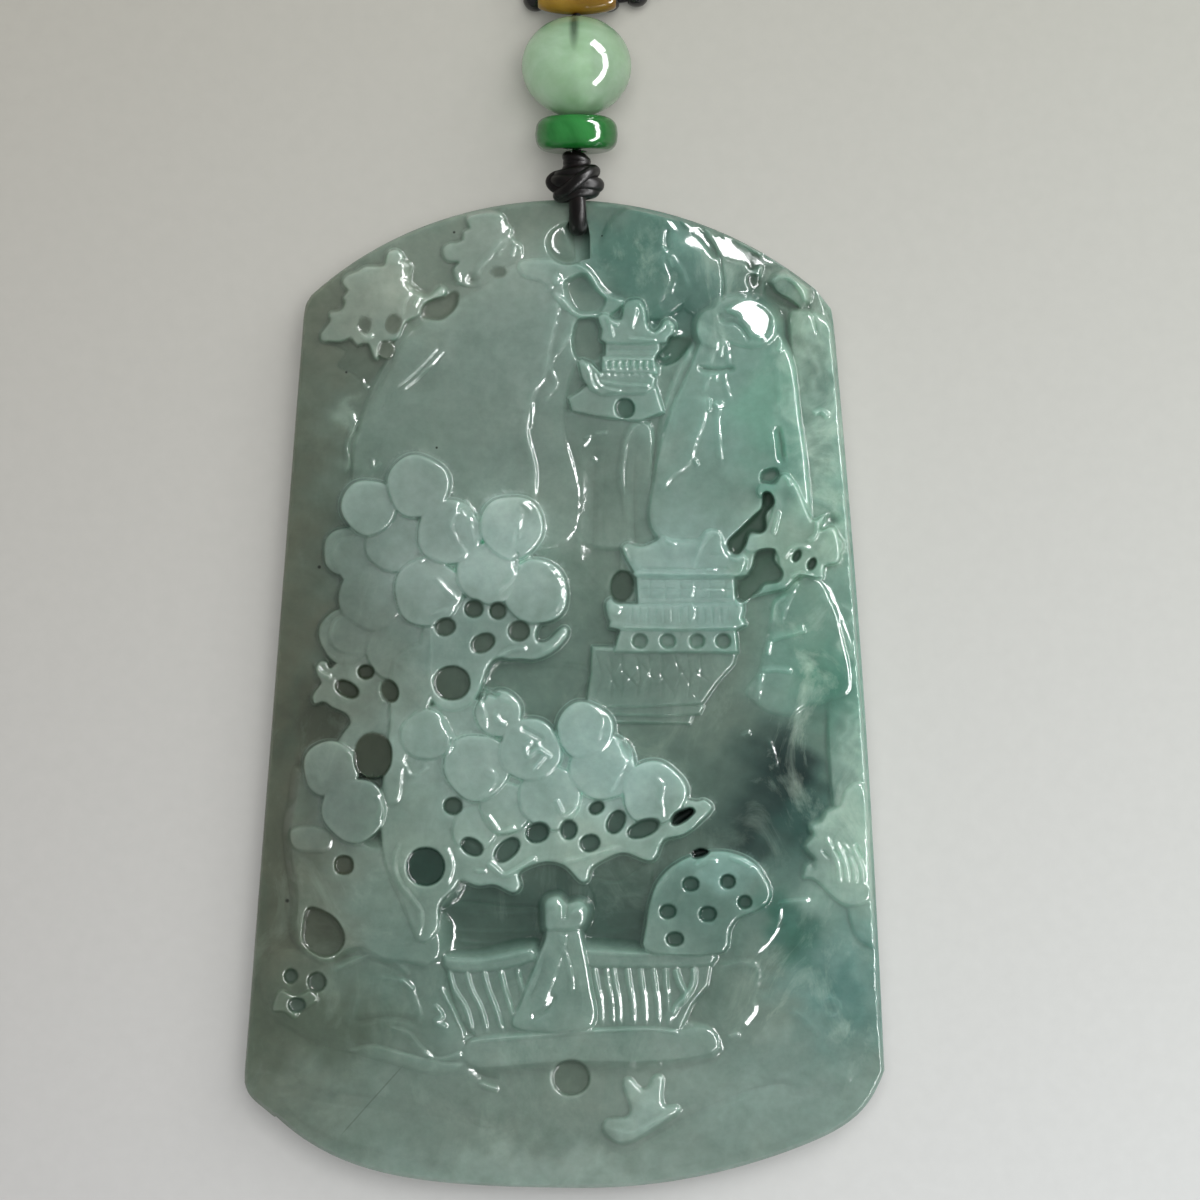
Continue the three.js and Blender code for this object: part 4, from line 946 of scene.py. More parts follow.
    # top roof with its ridge and turned-up eaves
    c.plate([(622, 548), (628, 543), (634, 545), (644, 546), (656, 541), (662, 536), (672, 539), (696, 539), (703, 533), (710, 529), (716, 530), (722, 537), (727, 552), (734, 556), (742, 554), (748, 560), (746, 568), (738, 577), (640, 577), (634, 572), (628, 562)],
            6.9, r=7, rv=0.5, smooth=3, wall=0.9)
    c.glint([(716, 533), (708, 536), (702, 544), (698, 554), (693, 567)], 2.4, 4)
    c.crest([(703, 534), (712, 531), (719, 534), (723, 542)], 0.3, 3, 3)
    c.crest([(664, 537), (672, 543), (676, 542)], 0.3, 3, 3)
    c.crest([(730, 557), (736, 559), (743, 557), (746, 561)], 0.35, 3, 3)
    c.crest([(744, 565), (740, 573), (732, 578)], 0.25, 3, 3)
    c.crest([(706, 570), (716, 569)], 0.25, 2.2, 2.2)
    c.crest([(636, 573), (690, 574), (738, 574)], 0.2, 2.5, 2.5, ends=0.03)
    c.crest([(640, 568), (690, 569), (730, 568)], -0.16, 2, 2, ends=0.05)
    c.crest([(710, 555), (722, 555)], -0.12, 2, 2)
    c.swell(680, 557, 22, 8, -0.18)
    c.crest([(622, 545), (626, 552), (629, 562)], 0.25, 3, 3)
    c.drill(622, 586, 12, 16, 0.15, power=2.1)
    for u0 in (640, 668, 697, 723.5):
        c.drill(u0, 641, 8, 7.6, power=2.1)


def upper_tree(c):
    # twigs and trunk under the foliage
    c.plate([(430, 612), (470, 596), (500, 596), (545, 610), (541, 622), (536, 633), (538, 641), (547, 641), (556, 633), (563, 627), (568, 629), (567, 637), (558, 648), (546, 656), (533, 660), (520, 661), (498, 658), (488, 668), (480, 690), (470, 706), (452, 712), (436, 706), (428, 690), (418, 660)],
            6.9, r=4.5, rv=0.35, smooth=4)
    c.plate([(316, 668), (320, 661), (327, 662), (331, 668), (345, 655), (365, 652), (392, 668), (410, 690), (412, 714), (402, 740), (390, 762), (360, 762), (338, 746), (343, 733), (350, 723), (346, 714), (333, 708), (324, 702), (315, 704), (312, 697), (316, 690), (321, 683), (317, 675)],
            6.0, r=4, rv=0.25, smooth=3)
    c.plate([(392, 660), (432, 640), (444, 660), (436, 690), (424, 720), (406, 760), (400, 800), (384, 800), (384, 760), (390, 720)], 6.9, r=6, rv=0.4, smooth=4)
    c.crest([(429, 618), (431, 650), (430, 688)], 0.12, 4, 3)
    c.swell(424, 700, 8, 20, 0.1)
    # the mass of leaves under the pads
    c.plate([(345, 500), (366, 484), (392, 480), (404, 462), (430, 462), (444, 480), (446, 504), (474, 508), (486, 512), (496, 502), (524, 502), (538, 520), (534, 548), (544, 566), (560, 578), (562, 600), (548, 616), (520, 618), (500, 600), (470, 598), (452, 616), (430, 622), (434, 650), (420, 676), (396, 680), (374, 662), (340, 658), (324, 640), (330, 616), (346, 606), (340, 584), (326, 560), (334, 536), (352, 530), (344, 514)],
            6.3, r=4, rv=0.2, smooth=3, inset=5)
    # the pads
    pads = [
        (347, 552, 24.2, 6.20, 0.10, 0.05), (347, 636, 28.2, 6.15, 0.1, 0.1), (371, 598, 32.2, 6.55, 0.05, 0.1), (401, 649, 34.2, 6.65, 0.0, 0.15),
        (396, 541, 31.2, 7.00, 0.1, 0.15), (428, 592, 34.2, 7.70, -0.05, 0.1), (369, 507, 27.7, 7.75, -0.15, -0.05), (488, 573, 31.2, 7.95, -0.1, 0.15),
        (536, 592, 32.2, 7.75, -0.1, 0.0), (449, 532, 32.2, 8.10, -0.2, 0.1), (418, 486, 31.2, 8.25, -0.1, -0.05), (512, 527, 31.7, 8.30, -0.15, -0.05)]
    for k, (u0, v0, r, z, tx, ty) in enumerate(pads):
        c.disc(u0, v0, r, z, tilt=(tx, ty), seed=k * 1.3, re=4, rv=0.2, crown=0.14, k=0.12)
    # facets ground into the pads, where the light runs
    c.glint([(516, 501), (521, 512), (519, 522), (514, 534), (512, 546)], 4.2, 10)
    c.crest([(520, 520), (519, 540)], 0.12, 2.5, 2.5)
    c.crest([(519, 502), (526, 506), (532, 512)], 0.15, 4, 4)
    c.glint([(463, 503), (455, 514), (451, 526), (457, 540), (465, 552), (460, 558)], 2.8, 5)
    c.glint([(465, 504), (470, 520), (472, 532), (475, 542)], 3.6, 4)
    c.crest([(464, 504), (472, 508), (477, 518)], 0.15, 3, 3)
    c.glint([(516, 556), (515, 570), (509, 582), (497, 593)], 3.0, 6)
    c.crest([(519, 560), (521, 568)], 0.2, 3, 3)
    c.glint([(546, 565), (556, 577), (563, 587), (561, 600), (553, 613)], 3.0, 6)
    c.crest([(434, 576), (446, 590), (458, 600)], 0.2, 4, 6)
    c.crest([(455, 601), (450, 608), (438, 612), (430, 615)], 0.15, 3, 3)
    c.crest([(419, 552), (424, 557), (419, 562)], 0.3, 3, 3)
    # drilled eyes between the twigs
    for d in ((474, 609, 9.5, 9), (498, 611, 8.5, 8.5), (445.5, 627, 10.5, 9, -0.3), (483, 643, 13, 9.5, -0.5), (519, 631, 11, 10.5)):
        c.drill(*d[:4], d[4] if len(d) > 4 else 0.0, power=2.1)
    c.drill(366, 672, 8.5, 7.5)
    c.drill(347, 689, 13, 8, 0.5, power=2.2)
    c.drill(390, 691, 8.5, 12, -0.3)
    c.crest([(381, 682), (379, 692), (384, 704)], 0.25, 3, 3)
    c.pit([(488, 682), (497, 664), (515, 660), (540, 662), (585, 666), (588, 682), (566, 706), (552, 722), (520, 716), (512, 700), (500, 690)], 3.9, smooth=4, wall=0.9)
    # twig tips
    c.crest([(314, 662), (320, 672), (332, 678)], 0.4, 4, 4, keep=0.4)
    c.crest([(540, 653), (554, 645), (564, 632)], 0.2, 5, 4, keep=0.3)
    c.crest([(497, 658), (510, 650), (528, 648)], 0.3, 4, 4)


def lower_tree(c):
    c.plate([(398, 728), (430, 706), (478, 700), (500, 740), (560, 770), (640, 780), (690, 800), (704, 800), (712, 808), (700, 822), (684, 834), (664, 840), (657, 856), (648, 861), (625, 853), (608, 858), (592, 868), (588, 880), (580, 881), (565, 866), (545, 862), (520, 872), (521, 886), (513, 893), (495, 885), (478, 886), (461, 881), (455, 889), (440, 905), (438, 930), (420, 942), (400, 900), (384, 860), (380, 800), (388, 760)],
            6.75, r=5, rv=0.35, tilt=(0.1, 0), smooth=4)
    c.swell(425, 782, 22, 18, 0.2)
    c.plate([(404, 738), (424, 716), (446, 716), (466, 742), (480, 712), (490, 692), (514, 700), (520, 726), (548, 728), (564, 720), (576, 706), (598, 708), (610, 730), (628, 748), (640, 768), (664, 768), (680, 786), (680, 804), (664, 818), (630, 810), (610, 796), (580, 800), (566, 820), (540, 824), (500, 828), (474, 842), (456, 830), (456, 800), (430, 760)],
            6.85, r=4, rv=0.2, smooth=3, inset=4)
    c.glint([(404, 764), (408, 773), (412, 777)], 2.2, 4)
    c.crest([(412, 777), (422, 772), (428, 766)], 0.2, 3, 3)
    pads = [
        (331, 769, 28.2, 6.95, 0.05, -0.05), (354, 810, 32.2, 7.15, 0.05, 0.05), (426, 735, 25.2, 7.50, 0, -0.1), (474, 829, 22.2, 7.20, 0, 0.1),
        (506, 808, 26.2, 7.55, 0, 0.1), (550, 798, 31.2, 7.90, -0.05, 0.1), (603, 767, 33.2, 7.95, -0.1, 0.05), (654, 793, 31.7, 8.00, -0.1, 0.05),
        (477, 767, 33.2, 8.05, -0.1, 0.1), (499, 714, 23.2, 8.10, 0.0, -0.1), (530, 750, 31.2, 8.10, -0.1, 0.05), (585, 730, 28.2, 8.25, -0.1, -0.05)]
    for k, (u0, v0, r, z, tx, ty) in enumerate(pads):
        c.disc(u0, v0, r, z, tilt=(tx, ty), seed=k * 1.7 + 0.4, re=4, rv=0.2, crown=0.14, k=0.12)
    c.swell(425, 780, 16, 12, -0.35, soft=1.6)
    c.glint([(484, 690), (481, 703), (485, 716), (486, 731)], 4.2, 3)
    c.glint([(484, 690), (497, 696), (513, 702)], 2.6, 4)
    c.crest([(496, 714), (500, 722), (507, 724)], 0.3, 4, 4)
    c.crest([(520, 727), (532, 733), (545, 740)], -0.3, 4, 4)
    c.crest([(533, 741), (526, 746), (528, 756), (538, 750), (552, 757)], 0.3, 3.5, 3.5, ends=0.06)
    c.crest([(546, 755), (538, 764), (531, 771)], 0.25, 3, 3)
    c.crest([(537, 742), (542, 752)], 0.2, 3, 3)
    c.glint([(594, 709), (602, 719), (598, 741)], 3.6, 7)
    c.glint([(623, 738), (629, 750), (623, 766), (617, 779), (609, 793)], 3.4, 8)
    c.glint([(655, 777), (663, 786), (661, 800), (664, 820)], 3.0, 6)
    c.glint([(488, 768), (495, 776), (492, 786), (480, 796)], 3.0, 8)
    c.crest([(556, 799), (560, 808), (563, 814)], 0.3, 3.5, 3.5)
    c.crest([(578, 806), (570, 814), (562, 818)], 0.3, 3.5, 3.5)
    c.glint([(443, 716), (450, 732), (451, 746), (445, 757)], 3.0, 7)
    c.crest([(346, 750), (354, 759), (358, 769)], 0.2, 4, 3)
    c.crest([(376, 794), (382, 808), (378, 822)], 0.2, 5, 3)
    c.crest([(487, 814), (494, 824), (501, 832), (516, 827)], 0.25, 4, 4, ends=0.06)
    # drilled eyes and slots
    c.drill(452, 683, 18.5, 17.5, power=2.1)
    c.drill(373, 756, 19, 23.5, 0.1, power=2.3)
    for d in ((453, 806, 9.5, 9, 0), (472, 847, 12.2, 8.50, 0.5), (507, 850, 16, 9.5, -0.75), (537.5, 833, 12, 10, -0.3), (569, 830, 8.5, 10, 0.2),
              (590, 843, 10.5, 9, -0.3), (596.5, 808, 8.5, 6.5, -0.5), (616, 822, 9, 13, 0.5), (643, 829, 17.2, 8.50, -0.35)):
        c.drill(d[0], d[1], d[2], d[3], d[4], power=2.1)
    c.pit([(672, 822), (676, 814), (690, 808), (694, 812), (686, 820), (676, 825)], 4.2, smooth=3, eye=0.9)
    c.crest([(487, 862), (496, 869), (505, 875), (522, 866), (537, 857)], 0.35, 4, 4, ends=0.06)
    c.crest([(474, 870), (487, 871)], 0.3, 3, 3)
    c.crest([(702, 799), (709, 804), (713, 810)], 0.35, 4, 3)
    c.crest([(655, 846), (676, 838), (700, 824)], 0.25, 4, 3)
    c.crest([(560, 862), (580, 858), (600, 852), (622, 846)], 0.25, 4, 4)
    # the big hollow with its thick collar
    c.mound(425, 868, 34, 36, 5.9, 6.6, k=0.6, p=2.6)
    c.drill(425.5, 866.5, 19.5, 19.5, power=2.1)
    c.glint([(399, 846), (395, 858), (396, 874), (404, 890)], 2.4, 4)
    c.glint([(404, 888), (413, 900), (421, 912), (421, 926), (418, 938)], 3.2, 5)
    c.crest([(446, 846), (452, 866), (446, 886)], 0.25, 4, 4)


def lower_left(c):
    c.plate([(300, 772), (312, 782), (330, 800), (344, 835), (372, 846), (392, 850), (404, 890), (420, 915), (438, 930), (440, 955), (426, 965), (408, 962), (384, 958), (360, 948), (340, 952), (326, 960), (310, 952), (296, 930), (298, 900), (294, 870), (290, 830), (296, 800)],
            5.75, r=8, rv=0.35, tilt=(0.5, 0), smooth=4, wall=0.09)
    c.swell(384, 902, 36, 50, 0.35, turn=-0.2)
    c.plate([(290, 832), (302, 826), (322, 828), (332, 838), (328, 850), (310, 852), (294, 848)], 5.9, r=4, rv=0.25, smooth=4)
    c.swell(308, 816, 9, 11, -0.2)
    c.swell(310, 867, 9, 16, -0.25)
    c.drill(344, 865, 9.8, 9.8, power=2.3)
    c.pit([(308, 908), (330, 914), (342, 928), (344, 943), (336, 954), (322, 957), (306, 948), (302, 936)], 4.0, smooth=5, eye=0.6)
    # bank and its mound of rocks
    c.plate([(262, 966), (280, 950), (306, 952), (330, 964), (350, 958), (368, 955), (400, 962), (440, 962), (452, 1000), (464, 1040), (470, 1060), (440, 1075), (400, 1066), (350, 1052), (310, 1040), (292, 1030), (266, 1010)],
            5.3, r=14, rv=0.35, tilt=(0.5, 0.1), smooth=4, wall=0.025, k=0.4)
    c.drill(291, 976, 7, 7.5)
    c.drill(317, 982, 9.5, 10)
    c.plate([(272, 1010), (280, 990), (296, 996), (310, 990), (318, 1000), (302, 1010), (294, 1018), (284, 1012)], 5.5, r=4, rv=0.25, smooth=4)
    c.drill(297, 1005, 9, 8)
    c.swell(388, 1004, 30, 26, 0.3)
    c.swell(442, 1028, 18, 28, 0.35, turn=-0.3)
    c.crest([(330, 972), (350, 962), (368, 956), (392, 962), (411, 974)], 0.3, 5, 8)
    c.glint([(378, 976), (394, 979), (410, 984), (414, 996), (419, 1008), (421, 1018)], 3.2, 8)
    c.crest([(400, 978), (414, 990)], 0.3, 3, 3)
    c.crest([(434, 1004), (442, 1016), (436, 1022), (448, 1027)], 0.4, 4, 3.5)
    c.crest([(440, 986), (452, 1008), (462, 1030), (463, 1040)], 0.3, 3.5, 3.5)
    c.crest([(463, 1040), (474, 1034), (480, 1026)], 0.35, 3, 3)
    c.glint([(390, 1028), (400, 1030), (409, 1034), (420, 1047), (430, 1056)], 3.2, 8)
    c.crest([(424, 1052), (434, 1058), (446, 1058), (462, 1053)], 0.25, 5, 3, ends=0.05)
    c.step([(340, 1052), (372, 1045), (400, 1052), (440, 1062), (470, 1064)], -0.3, 26, 3)
    c.crest([(350, 1022), (390, 1016), (420, 1022)], -0.2, 6, 6)


def behind_bridge(c):
    """The still water and the far bank behind the rail."""
    c.pit([(447, 905), (470, 900), (500, 904), (545, 908), (552, 930), (546, 952), (505, 955), (452, 960), (444, 935)], 4.3, smooth=3, wall=0.35)
    c.pit([(588, 876), (620, 880), (652, 858), (652, 900), (648, 948), (590, 952), (584, 930), (594, 905)], 4.3, smooth=3, wall=0.35)


def bridge(c):
    # water and ground behind the rail
    for v0 in (912, 930, 941):
        c.crest([(452, v0), (500, v0 + 2), (548, v0 - 1)], 0.12, 3.5, 3.5)
    for k, (a, b, v0) in enumerate(((600, 640, 884), (604, 640, 898), (600, 642, 914), (602, 644, 930))):
        c.crest([(a, v0), (b, v0 - 2)], 0.12, 4, 4)
    # the panel under the rail, and the deck
    c.plate([(446, 966), (505, 966), (534, 960), (585, 960), (712, 962), (708, 985), (692, 1004), (680, 1030), (600, 1034), (520, 1036), (480, 1042), (462, 1020), (452, 995)],
            5.7, r=3, rv=0.2, smooth=1, wall=0.3)
    c.plate([(463, 1048), (480, 1036), (520, 1032), (560, 1030), (620, 1028), (678, 1030), (700, 1026), (716, 1034), (712, 1054), (640, 1062), (560, 1062), (490, 1068), (468, 1064)],
            5.95, r=7, rv=0.35, smooth=3, wall=0.12, k=0.3)
    # slats, leaning to either side
    for k in range(6):
        a, b = 449 + 17 * k, 466 + 15 * k
        c.crest([(a, 968), (a + 5, 988), (b, 1008), (b + 6, 1030)], 0.34, 3.4, 2.8, ends=0.08, p=1.0, keep=0.3)
    for (a, b) in ((594, 602), (606, 613), (613, 620), (627, 634), (640, 646), (653, 659), (665, 669)):
        c.crest([(a, 966), (a + 0.4 * (b - a), 985), (b - 1, 1003), (b, 1022)], 0.3, 3.5, 3, ends=0.06, p=1.0, keep=0.4)
        c.glint([(b - 1.6, 992), (b - 0.6, 1006), (b, 1023)], 2.8, 3)
    c.crest([(676, 968), (680, 982), (686, 995), (682, 1004)], 0.55, 5, 3, ends=0.06, p=1.0, keep=0.4)
    c.crest([(694, 966), (693, 984), (686, 996), (678, 1004), (672, 1016)], 0.55, 4, 4, ends=0.06, p=1.0, keep=0.4)
    # hand rails
    c.plate([(444, 958), (452, 956), (480, 957), (505, 952), (532, 948), (534, 960), (506, 968), (480, 971), (450, 971)], 6.15, r=5, rv=0.3, smooth=2, wall=0.16)
    c.plate([(582, 948), (620, 950), (680, 952), (712, 951), (712, 964), (680, 967), (620, 967), (584, 965)], 6.15, r=5, rv=0.3, smooth=2, wall=0.16)
    c.crest([(586, 952), (640, 954), (708, 955)], 0.15, 3, 3, ends=0.04)
    c.crest([(446, 961), (480, 961), (530, 952)], 0.15, 3, 3, ends=0.04)
    c.crest([(592, 1031), (622, 1029), (655, 1029), (678, 1032)], 0.4, 2.8, 2.8, ends=0.04)
    c.crest([(466, 1042), (500, 1038), (560, 1034), (596, 1031)], 0.25, 3, 3, ends=0.05)
    # hatching of the deck's face
    for k in range(15):
        a = 500 + 13 * k
        c.crest([(a + 6, 1040), (a - 4, 1060)], -0.05, 1.8, 1.8, ends=0.1)
        c.crest([(a - 3, 1042), (a + 8, 1060)], -0.04, 1.6, 1.6, ends=0.1)


def walker(c):
    """A robed figure seen from afar, with no face."""
    c.plate([(549, 926), (545, 940), (537, 960), (528, 982), (520, 1005), (512, 1022), (522, 1030), (560, 1032), (590, 1028), (596, 1012), (592, 990), (588, 965), (583, 940), (579, 926), (566, 921)],
            6.6, r=9, rv=0.35, crown=0.2, smooth=4, wall=0.8)
    c.glint([(566, 932), (562, 950), (555, 972), (548, 990), (541, 1003)], 3.8, 10)
    c.glint([(563, 948), (569, 966), (572, 980), (572, 992)], 2.6, 4)
    c.crest([(556, 994), (550, 1006), (540, 1014), (530, 1018)], -0.3, 6, 4)
    c.crest([(580, 980), (583, 1000), (581, 1016)], 0.1, 6, 5)
    c.crest([(545, 950), (540, 975), (528, 1002)], -0.2, 4, 5)
    # the cap with its two lobes, and the head under it
    c.plate([(546, 928), (545, 914), (545, 904), (549, 898), (558, 896), (564, 901), (569, 903), (577, 901), (584, 903), (588, 910), (586, 920), (580, 928), (566, 931), (554, 931)],
            7.0, r=6, rv=0.45, smooth=4, wall=0.4)
    c.swell(555, 907, 6, 8, 0.3)
    c.swell(579, 912, 6, 5, 0.3)
    c.crest([(567, 899), (567, 910), (565, 920)], -0.3, 4, 4, ends=0.1)
    c.crest([(561, 904), (561, 918)], 0.2, 3, 3)
    c.crest([(571, 914), (580, 909), (586, 905)], 0.2, 3, 3)
    c.crest([(552, 929), (566, 932), (582, 928)], -0.2, 4, 4)


def screen(c):
    """The pierced garden rock and the rocks beside it."""
    c.plate([(645, 950), (646, 925), (649, 905), (655, 886), (665, 872), (680, 861), (695, 855), (712, 851), (730, 852), (747, 858), (759, 868), (767, 881), (771, 892), (768, 903), (754, 912), (739, 918), (730, 930), (724, 952), (680, 955)],
            6.95, r=5, rv=0.4, tilt=(0.1, 0), smooth=3)
    c.crest([(729, 856), (742, 861), (752, 867)], 0.25, 4, 3)
    c.crest([(694, 867), (706, 860), (719, 861)], 0.25, 4, 3)
    c.crest([(652, 900), (658, 885), (668, 873)], 0.2, 4, 4)
    for d in ((728, 881.5, 8, 7.5), (745, 902, 7.5, 7), (668, 911.5, 8.5, 7.5), (708, 914, 9, 8), (675, 939, 9, 7.5)):
        c.drill(*d, power=2.1)
    c.drill(691, 884, 8.5, 7.5, power=2.2)
    c.pit([(692, 852), (700, 848), (709, 851), (702, 856), (694, 857)], 3.6, smooth=3, eye=1.0)
    # rocks down the right-hand side
    c.plate([(716, 966), (728, 950), (742, 930), (756, 914), (768, 904), (780, 898), (802, 896), (814, 904), (826, 922), (842, 938), (852, 960), (858, 985), (862, 1014), (838, 1034), (800, 1044), (760, 1040), (728, 1042), (720, 1026), (720, 1000)],
            5.2, r=12, rv=0.08, tilt=(0.1, 0.1), smooth=4, wall=0.025, k=0.6)
    c.plate([(750, 914), (766, 903), (784, 900), (806, 898), (812, 906), (790, 908), (781, 918), (776, 932), (764, 946), (752, 956), (736, 952), (740, 930)], 5.8, r=6, rv=0.06, smooth=4, wall=0.025, k=0.3)
    c.crest([(778, 903), (792, 901), (810, 900)], 0.25, 4, 3)
    c.glint([(780, 905), (778, 920), (775, 931), (764, 945), (753, 954)], 4.0, 12)
    c.plate([(722, 964), (750, 960), (762, 966), (764, 978), (756, 990), (766, 997), (752, 1006), (744, 1022), (736, 1034), (722, 1030), (716, 1004), (718, 980)], 5.6, r=6, rv=0.06, smooth=3, wall=0.025, k=0.3)
    c.glint([(757, 968), (759, 976), (756, 985)], 4.0, 6)
    c.glint([(754, 1002), (752, 1012), (743, 1024)], 5.5, 8)
    c.crest([(728, 1037), (740, 1034)], 0.25, 3, 3)
    c.crest([(720, 968), (740, 962), (760, 966)], 0.2, 6, 6)
    c.swell(776, 1000, 30, 24, 0.15)
    c.swell(829, 1008, 22, 22, 0.2)
    c.swell(829, 1008, 6, 6, -0.25)
    c.crest([(822, 1001), (831, 997), (839, 1004), (837, 1014), (826, 1017)], 0.09, 3, 3)
    c.swell(838, 960, 24, 34, 0.15)
    c.crest([(783, 1015), (796, 1012), (812, 1026), (824, 1048)], 0.08, 8, 5, ends=0.15)


def right_rocks(c):
    c.plate([(774, 604), (786, 590), (800, 580), (812, 577), (822, 582), (830, 598), (837, 614), (844, 640), (850, 668), (850, 690), (838, 698), (820, 704), (806, 706), (790, 716), (768, 712), (752, 700), (746, 690), (758, 672), (764, 650), (769, 627)],
            5.9, r=10, rv=0.35, tilt=(0.1, -0.5), crown=0.15, smooth=4, wall=0.03, k=0.5)
    c.crest([(800, 579), (808, 576), (818, 579)], 0.35, 5, 4)
    c.glint([(799, 582), (793, 592), (786, 606), (782, 621)], 2.8, 8)
    c.glint([(786, 597), (777, 601), (774, 610), (773, 622)], 2.4, 4)
    c.crest([(824, 584), (832, 600), (840, 620)], 0.1, 9, 5)
    c.crest([(771, 640), (782, 637), (794, 634), (806, 630)], 0.35, 3, 9, ends=0.05)
    c.crest([(771, 641), (769, 648), (768, 656)], 0.3, 5, 3)
    c.crest([(762, 671), (777, 670), (792, 672)], 0.3, 2.5, 6, ends=0.05)
    c.glint([(762, 672), (760, 686), (758, 700)], 2.2, 4)
    c.crest([(800, 650), (816, 662), (824, 680)], -0.2, 9, 9)
    c.crest([(838, 614), (846, 634), (853, 655)], 0.1, 5, 4)
    c.swell(752, 740, 40, 24, 0.3)
    c.swell(800, 740, 24, 40, 0.25)
    c.crest([(742, 737), (746, 734), (751, 733)], 0.3, 5, 3)
    c.crest([(820, 760), (812, 790), (806, 812)], 0.08, 9, 7)
    c.glint([(769, 740), (773, 752), (777, 768)], 2.6, 5)
    # leaves at the right edge
    c.plate([(806, 846), (814, 836), (812, 826), (822, 822), (828, 812), (840, 806), (846, 790), (860, 782), (868, 800), (872, 840), (876, 880), (870, 900), (852, 906), (834, 898), (818, 882), (804, 880), (806, 866), (816, 860)],
            5.85, r=6, rv=0.35, tilt=(-0.2, 0), smooth=3, wall=0.2, k=0.2)
    c.mound(852, 862, 22, 38, 5.4, 6.2, k=0.4)
    for k in range(4):
        c.crest([(826 + 9 * k, 836 + 3 * k), (838 + 8 * k, 862 + 2 * k), (840 + 8 * k, 884)], 0.3, 3, 3)
        c.crest([(822 + 11 * k, 850 - 2 * k), (830 + 11 * k, 858)], -0.3, 2.5, 2.5)
    c.swell(812, 866, 4, 4, -0.4)
    c.pit([(800, 882), (812, 880), (822, 890), (812, 894), (800, 892)], 4.4, smooth=3, wall=0.3)


def foot(c):
    """The rounded bank along the foot, with its dimple and the little boat."""
    c.plate([(300, 1050), (340, 1046), (380, 1054), (420, 1068), (460, 1074), (482, 1084), (494, 1096), (500, 1110), (480, 1116), (440, 1108), (390, 1100), (340, 1092), (300, 1084)],
            4.9, r=14, rv=0.2, crown=0.1, smooth=4, wall=0.02, k=0.6)
    c.plate([(280, 1095), (330, 1104), (390, 1112), (450, 1120), (494, 1134), (508, 1150), (500, 1166), (440, 1164), (370, 1150), (310, 1128)],
            4.75, r=16, rv=0.2, crown=0.05, smooth=4, wall=0.015, k=0.6)
    c.plate([(480, 1068), (520, 1060), (600, 1056), (660, 1056), (720, 1052), (700, 1076), (660, 1100), (620, 1120), (600, 1140), (560, 1156), (524, 1146), (512, 1118), (500, 1090)],
            4.85, r=14, rv=0.2, smooth=4, wall=0.015, k=0.6)
    c.plate([(700, 1062), (736, 1048), (770, 1032), (798, 1020), (816, 1034), (834, 1056), (850, 1070), (850, 1082), (830, 1086), (796, 1086), (760, 1078), (724, 1088), (690, 1104), (668, 1102), (668, 1086)],
            4.95, r=22, rv=0.3, crown=0.15, smooth=4, wall=0.02, k=0.6)
    c.plate([(690, 1122), (726, 1104), (764, 1094), (806, 1098), (840, 1100), (846, 1106), (820, 1126), (780, 1142), (730, 1156), (680, 1166), (620, 1172), (580, 1172), (600, 1158), (640, 1144), (670, 1130)],
            4.75, r=16, rv=0.2, crown=0.05, smooth=4, wall=0.015, k=0.6)
    c.mound(486, 1098, 26, 30, 4.5, 5.05, turn=-0.4, k=0.5)
    c.crest([(462, 1112), (480, 1118), (500, 1127)], -0.16, 9, 10, ends=0.25)
    c.crest([(479, 1082), (488, 1086), (499, 1089)], 0.35, 5, 3)
    c.crest([(600, 1144), (625, 1154), (655, 1136), (690, 1115), (724, 1099), (756, 1087)], -0.16, 9, 9, ends=0.2)
    c.crest([(728, 1098), (750, 1089), (775, 1084), (795, 1084)], -0.2, 7, 7, ends=0.2)
    c.crest([(470, 1062), (480, 1074), (500, 1080)], -0.35, 8, 8, ends=0.2)
    c.drill(571, 1078, 19, 17.5, power=2.1)
    # the boat-like ornament
    c.plate([(624, 1086), (625, 1079), (631, 1079), (637, 1086), (643, 1090), (649, 1087), (652, 1079), (658, 1075), (663, 1079), (662, 1092), (662, 1102), (666, 1107), (676, 1106), (679, 1110), (671, 1117), (656, 1126), (640, 1136), (626, 1142), (614, 1140), (604, 1130), (606, 1121), (614, 1119), (625, 1119), (631, 1113), (630, 1104), (627, 1095)],
            5.5, r=6, rv=0.3, smooth=3, wall=0.2)
    c.swell(646, 1106, 9, 9, 0.2)
    c.crest([(608, 1128), (630, 1133), (656, 1121), (674, 1112)], 0.12, 4, 4)


def hang_bowl(c):
    """The bowl of the hanging hole on the face."""
    got = c.near([(530, 200), (620, 290)], 0)
    w, u, v = got
    x, y = (u - 568) * UNIT, (v - 242) * UNIT
    R = 1.5
    q = np.hypot(x, y * 1.02)
    z = 5.35 - np.sqrt(np.maximum(R * R - q * q, 0)) + np.maximum(q - R, 0) * 12
    c.h[w] = smin(c.h[w], z, 0.25)
    # painted shadow: the dark crescent of the bore's lower wall
    c.mark([(586, 252), (583, 257), (576, 260)], 2.4, 1.0)


def carve(u, v):
    c = Carving(u, v)
    background(c)
    head(c)
    mountain(c)
    pavilions(c)
    right_rocks(c)
    behind_bridge(c)
    upper_tree(c)
    lower_left(c)
    lower_tree(c)
    screen(c)
    bridge(c)
    walker(c)
    foot(c)
    shoulder(c)
    hang_bowl(c)
    c.settle()
    return c


# ------------------------------------------------------------------ the plaque's mesh
def place(u, v, z):
    """Grid place and height (mm) to a point in mm."""
    s = UNIT * (EYE - z) / 260.0
    return np.stack([(u - 600) * s + MID[0], (600 - v) * s + MID[1], z], -1)


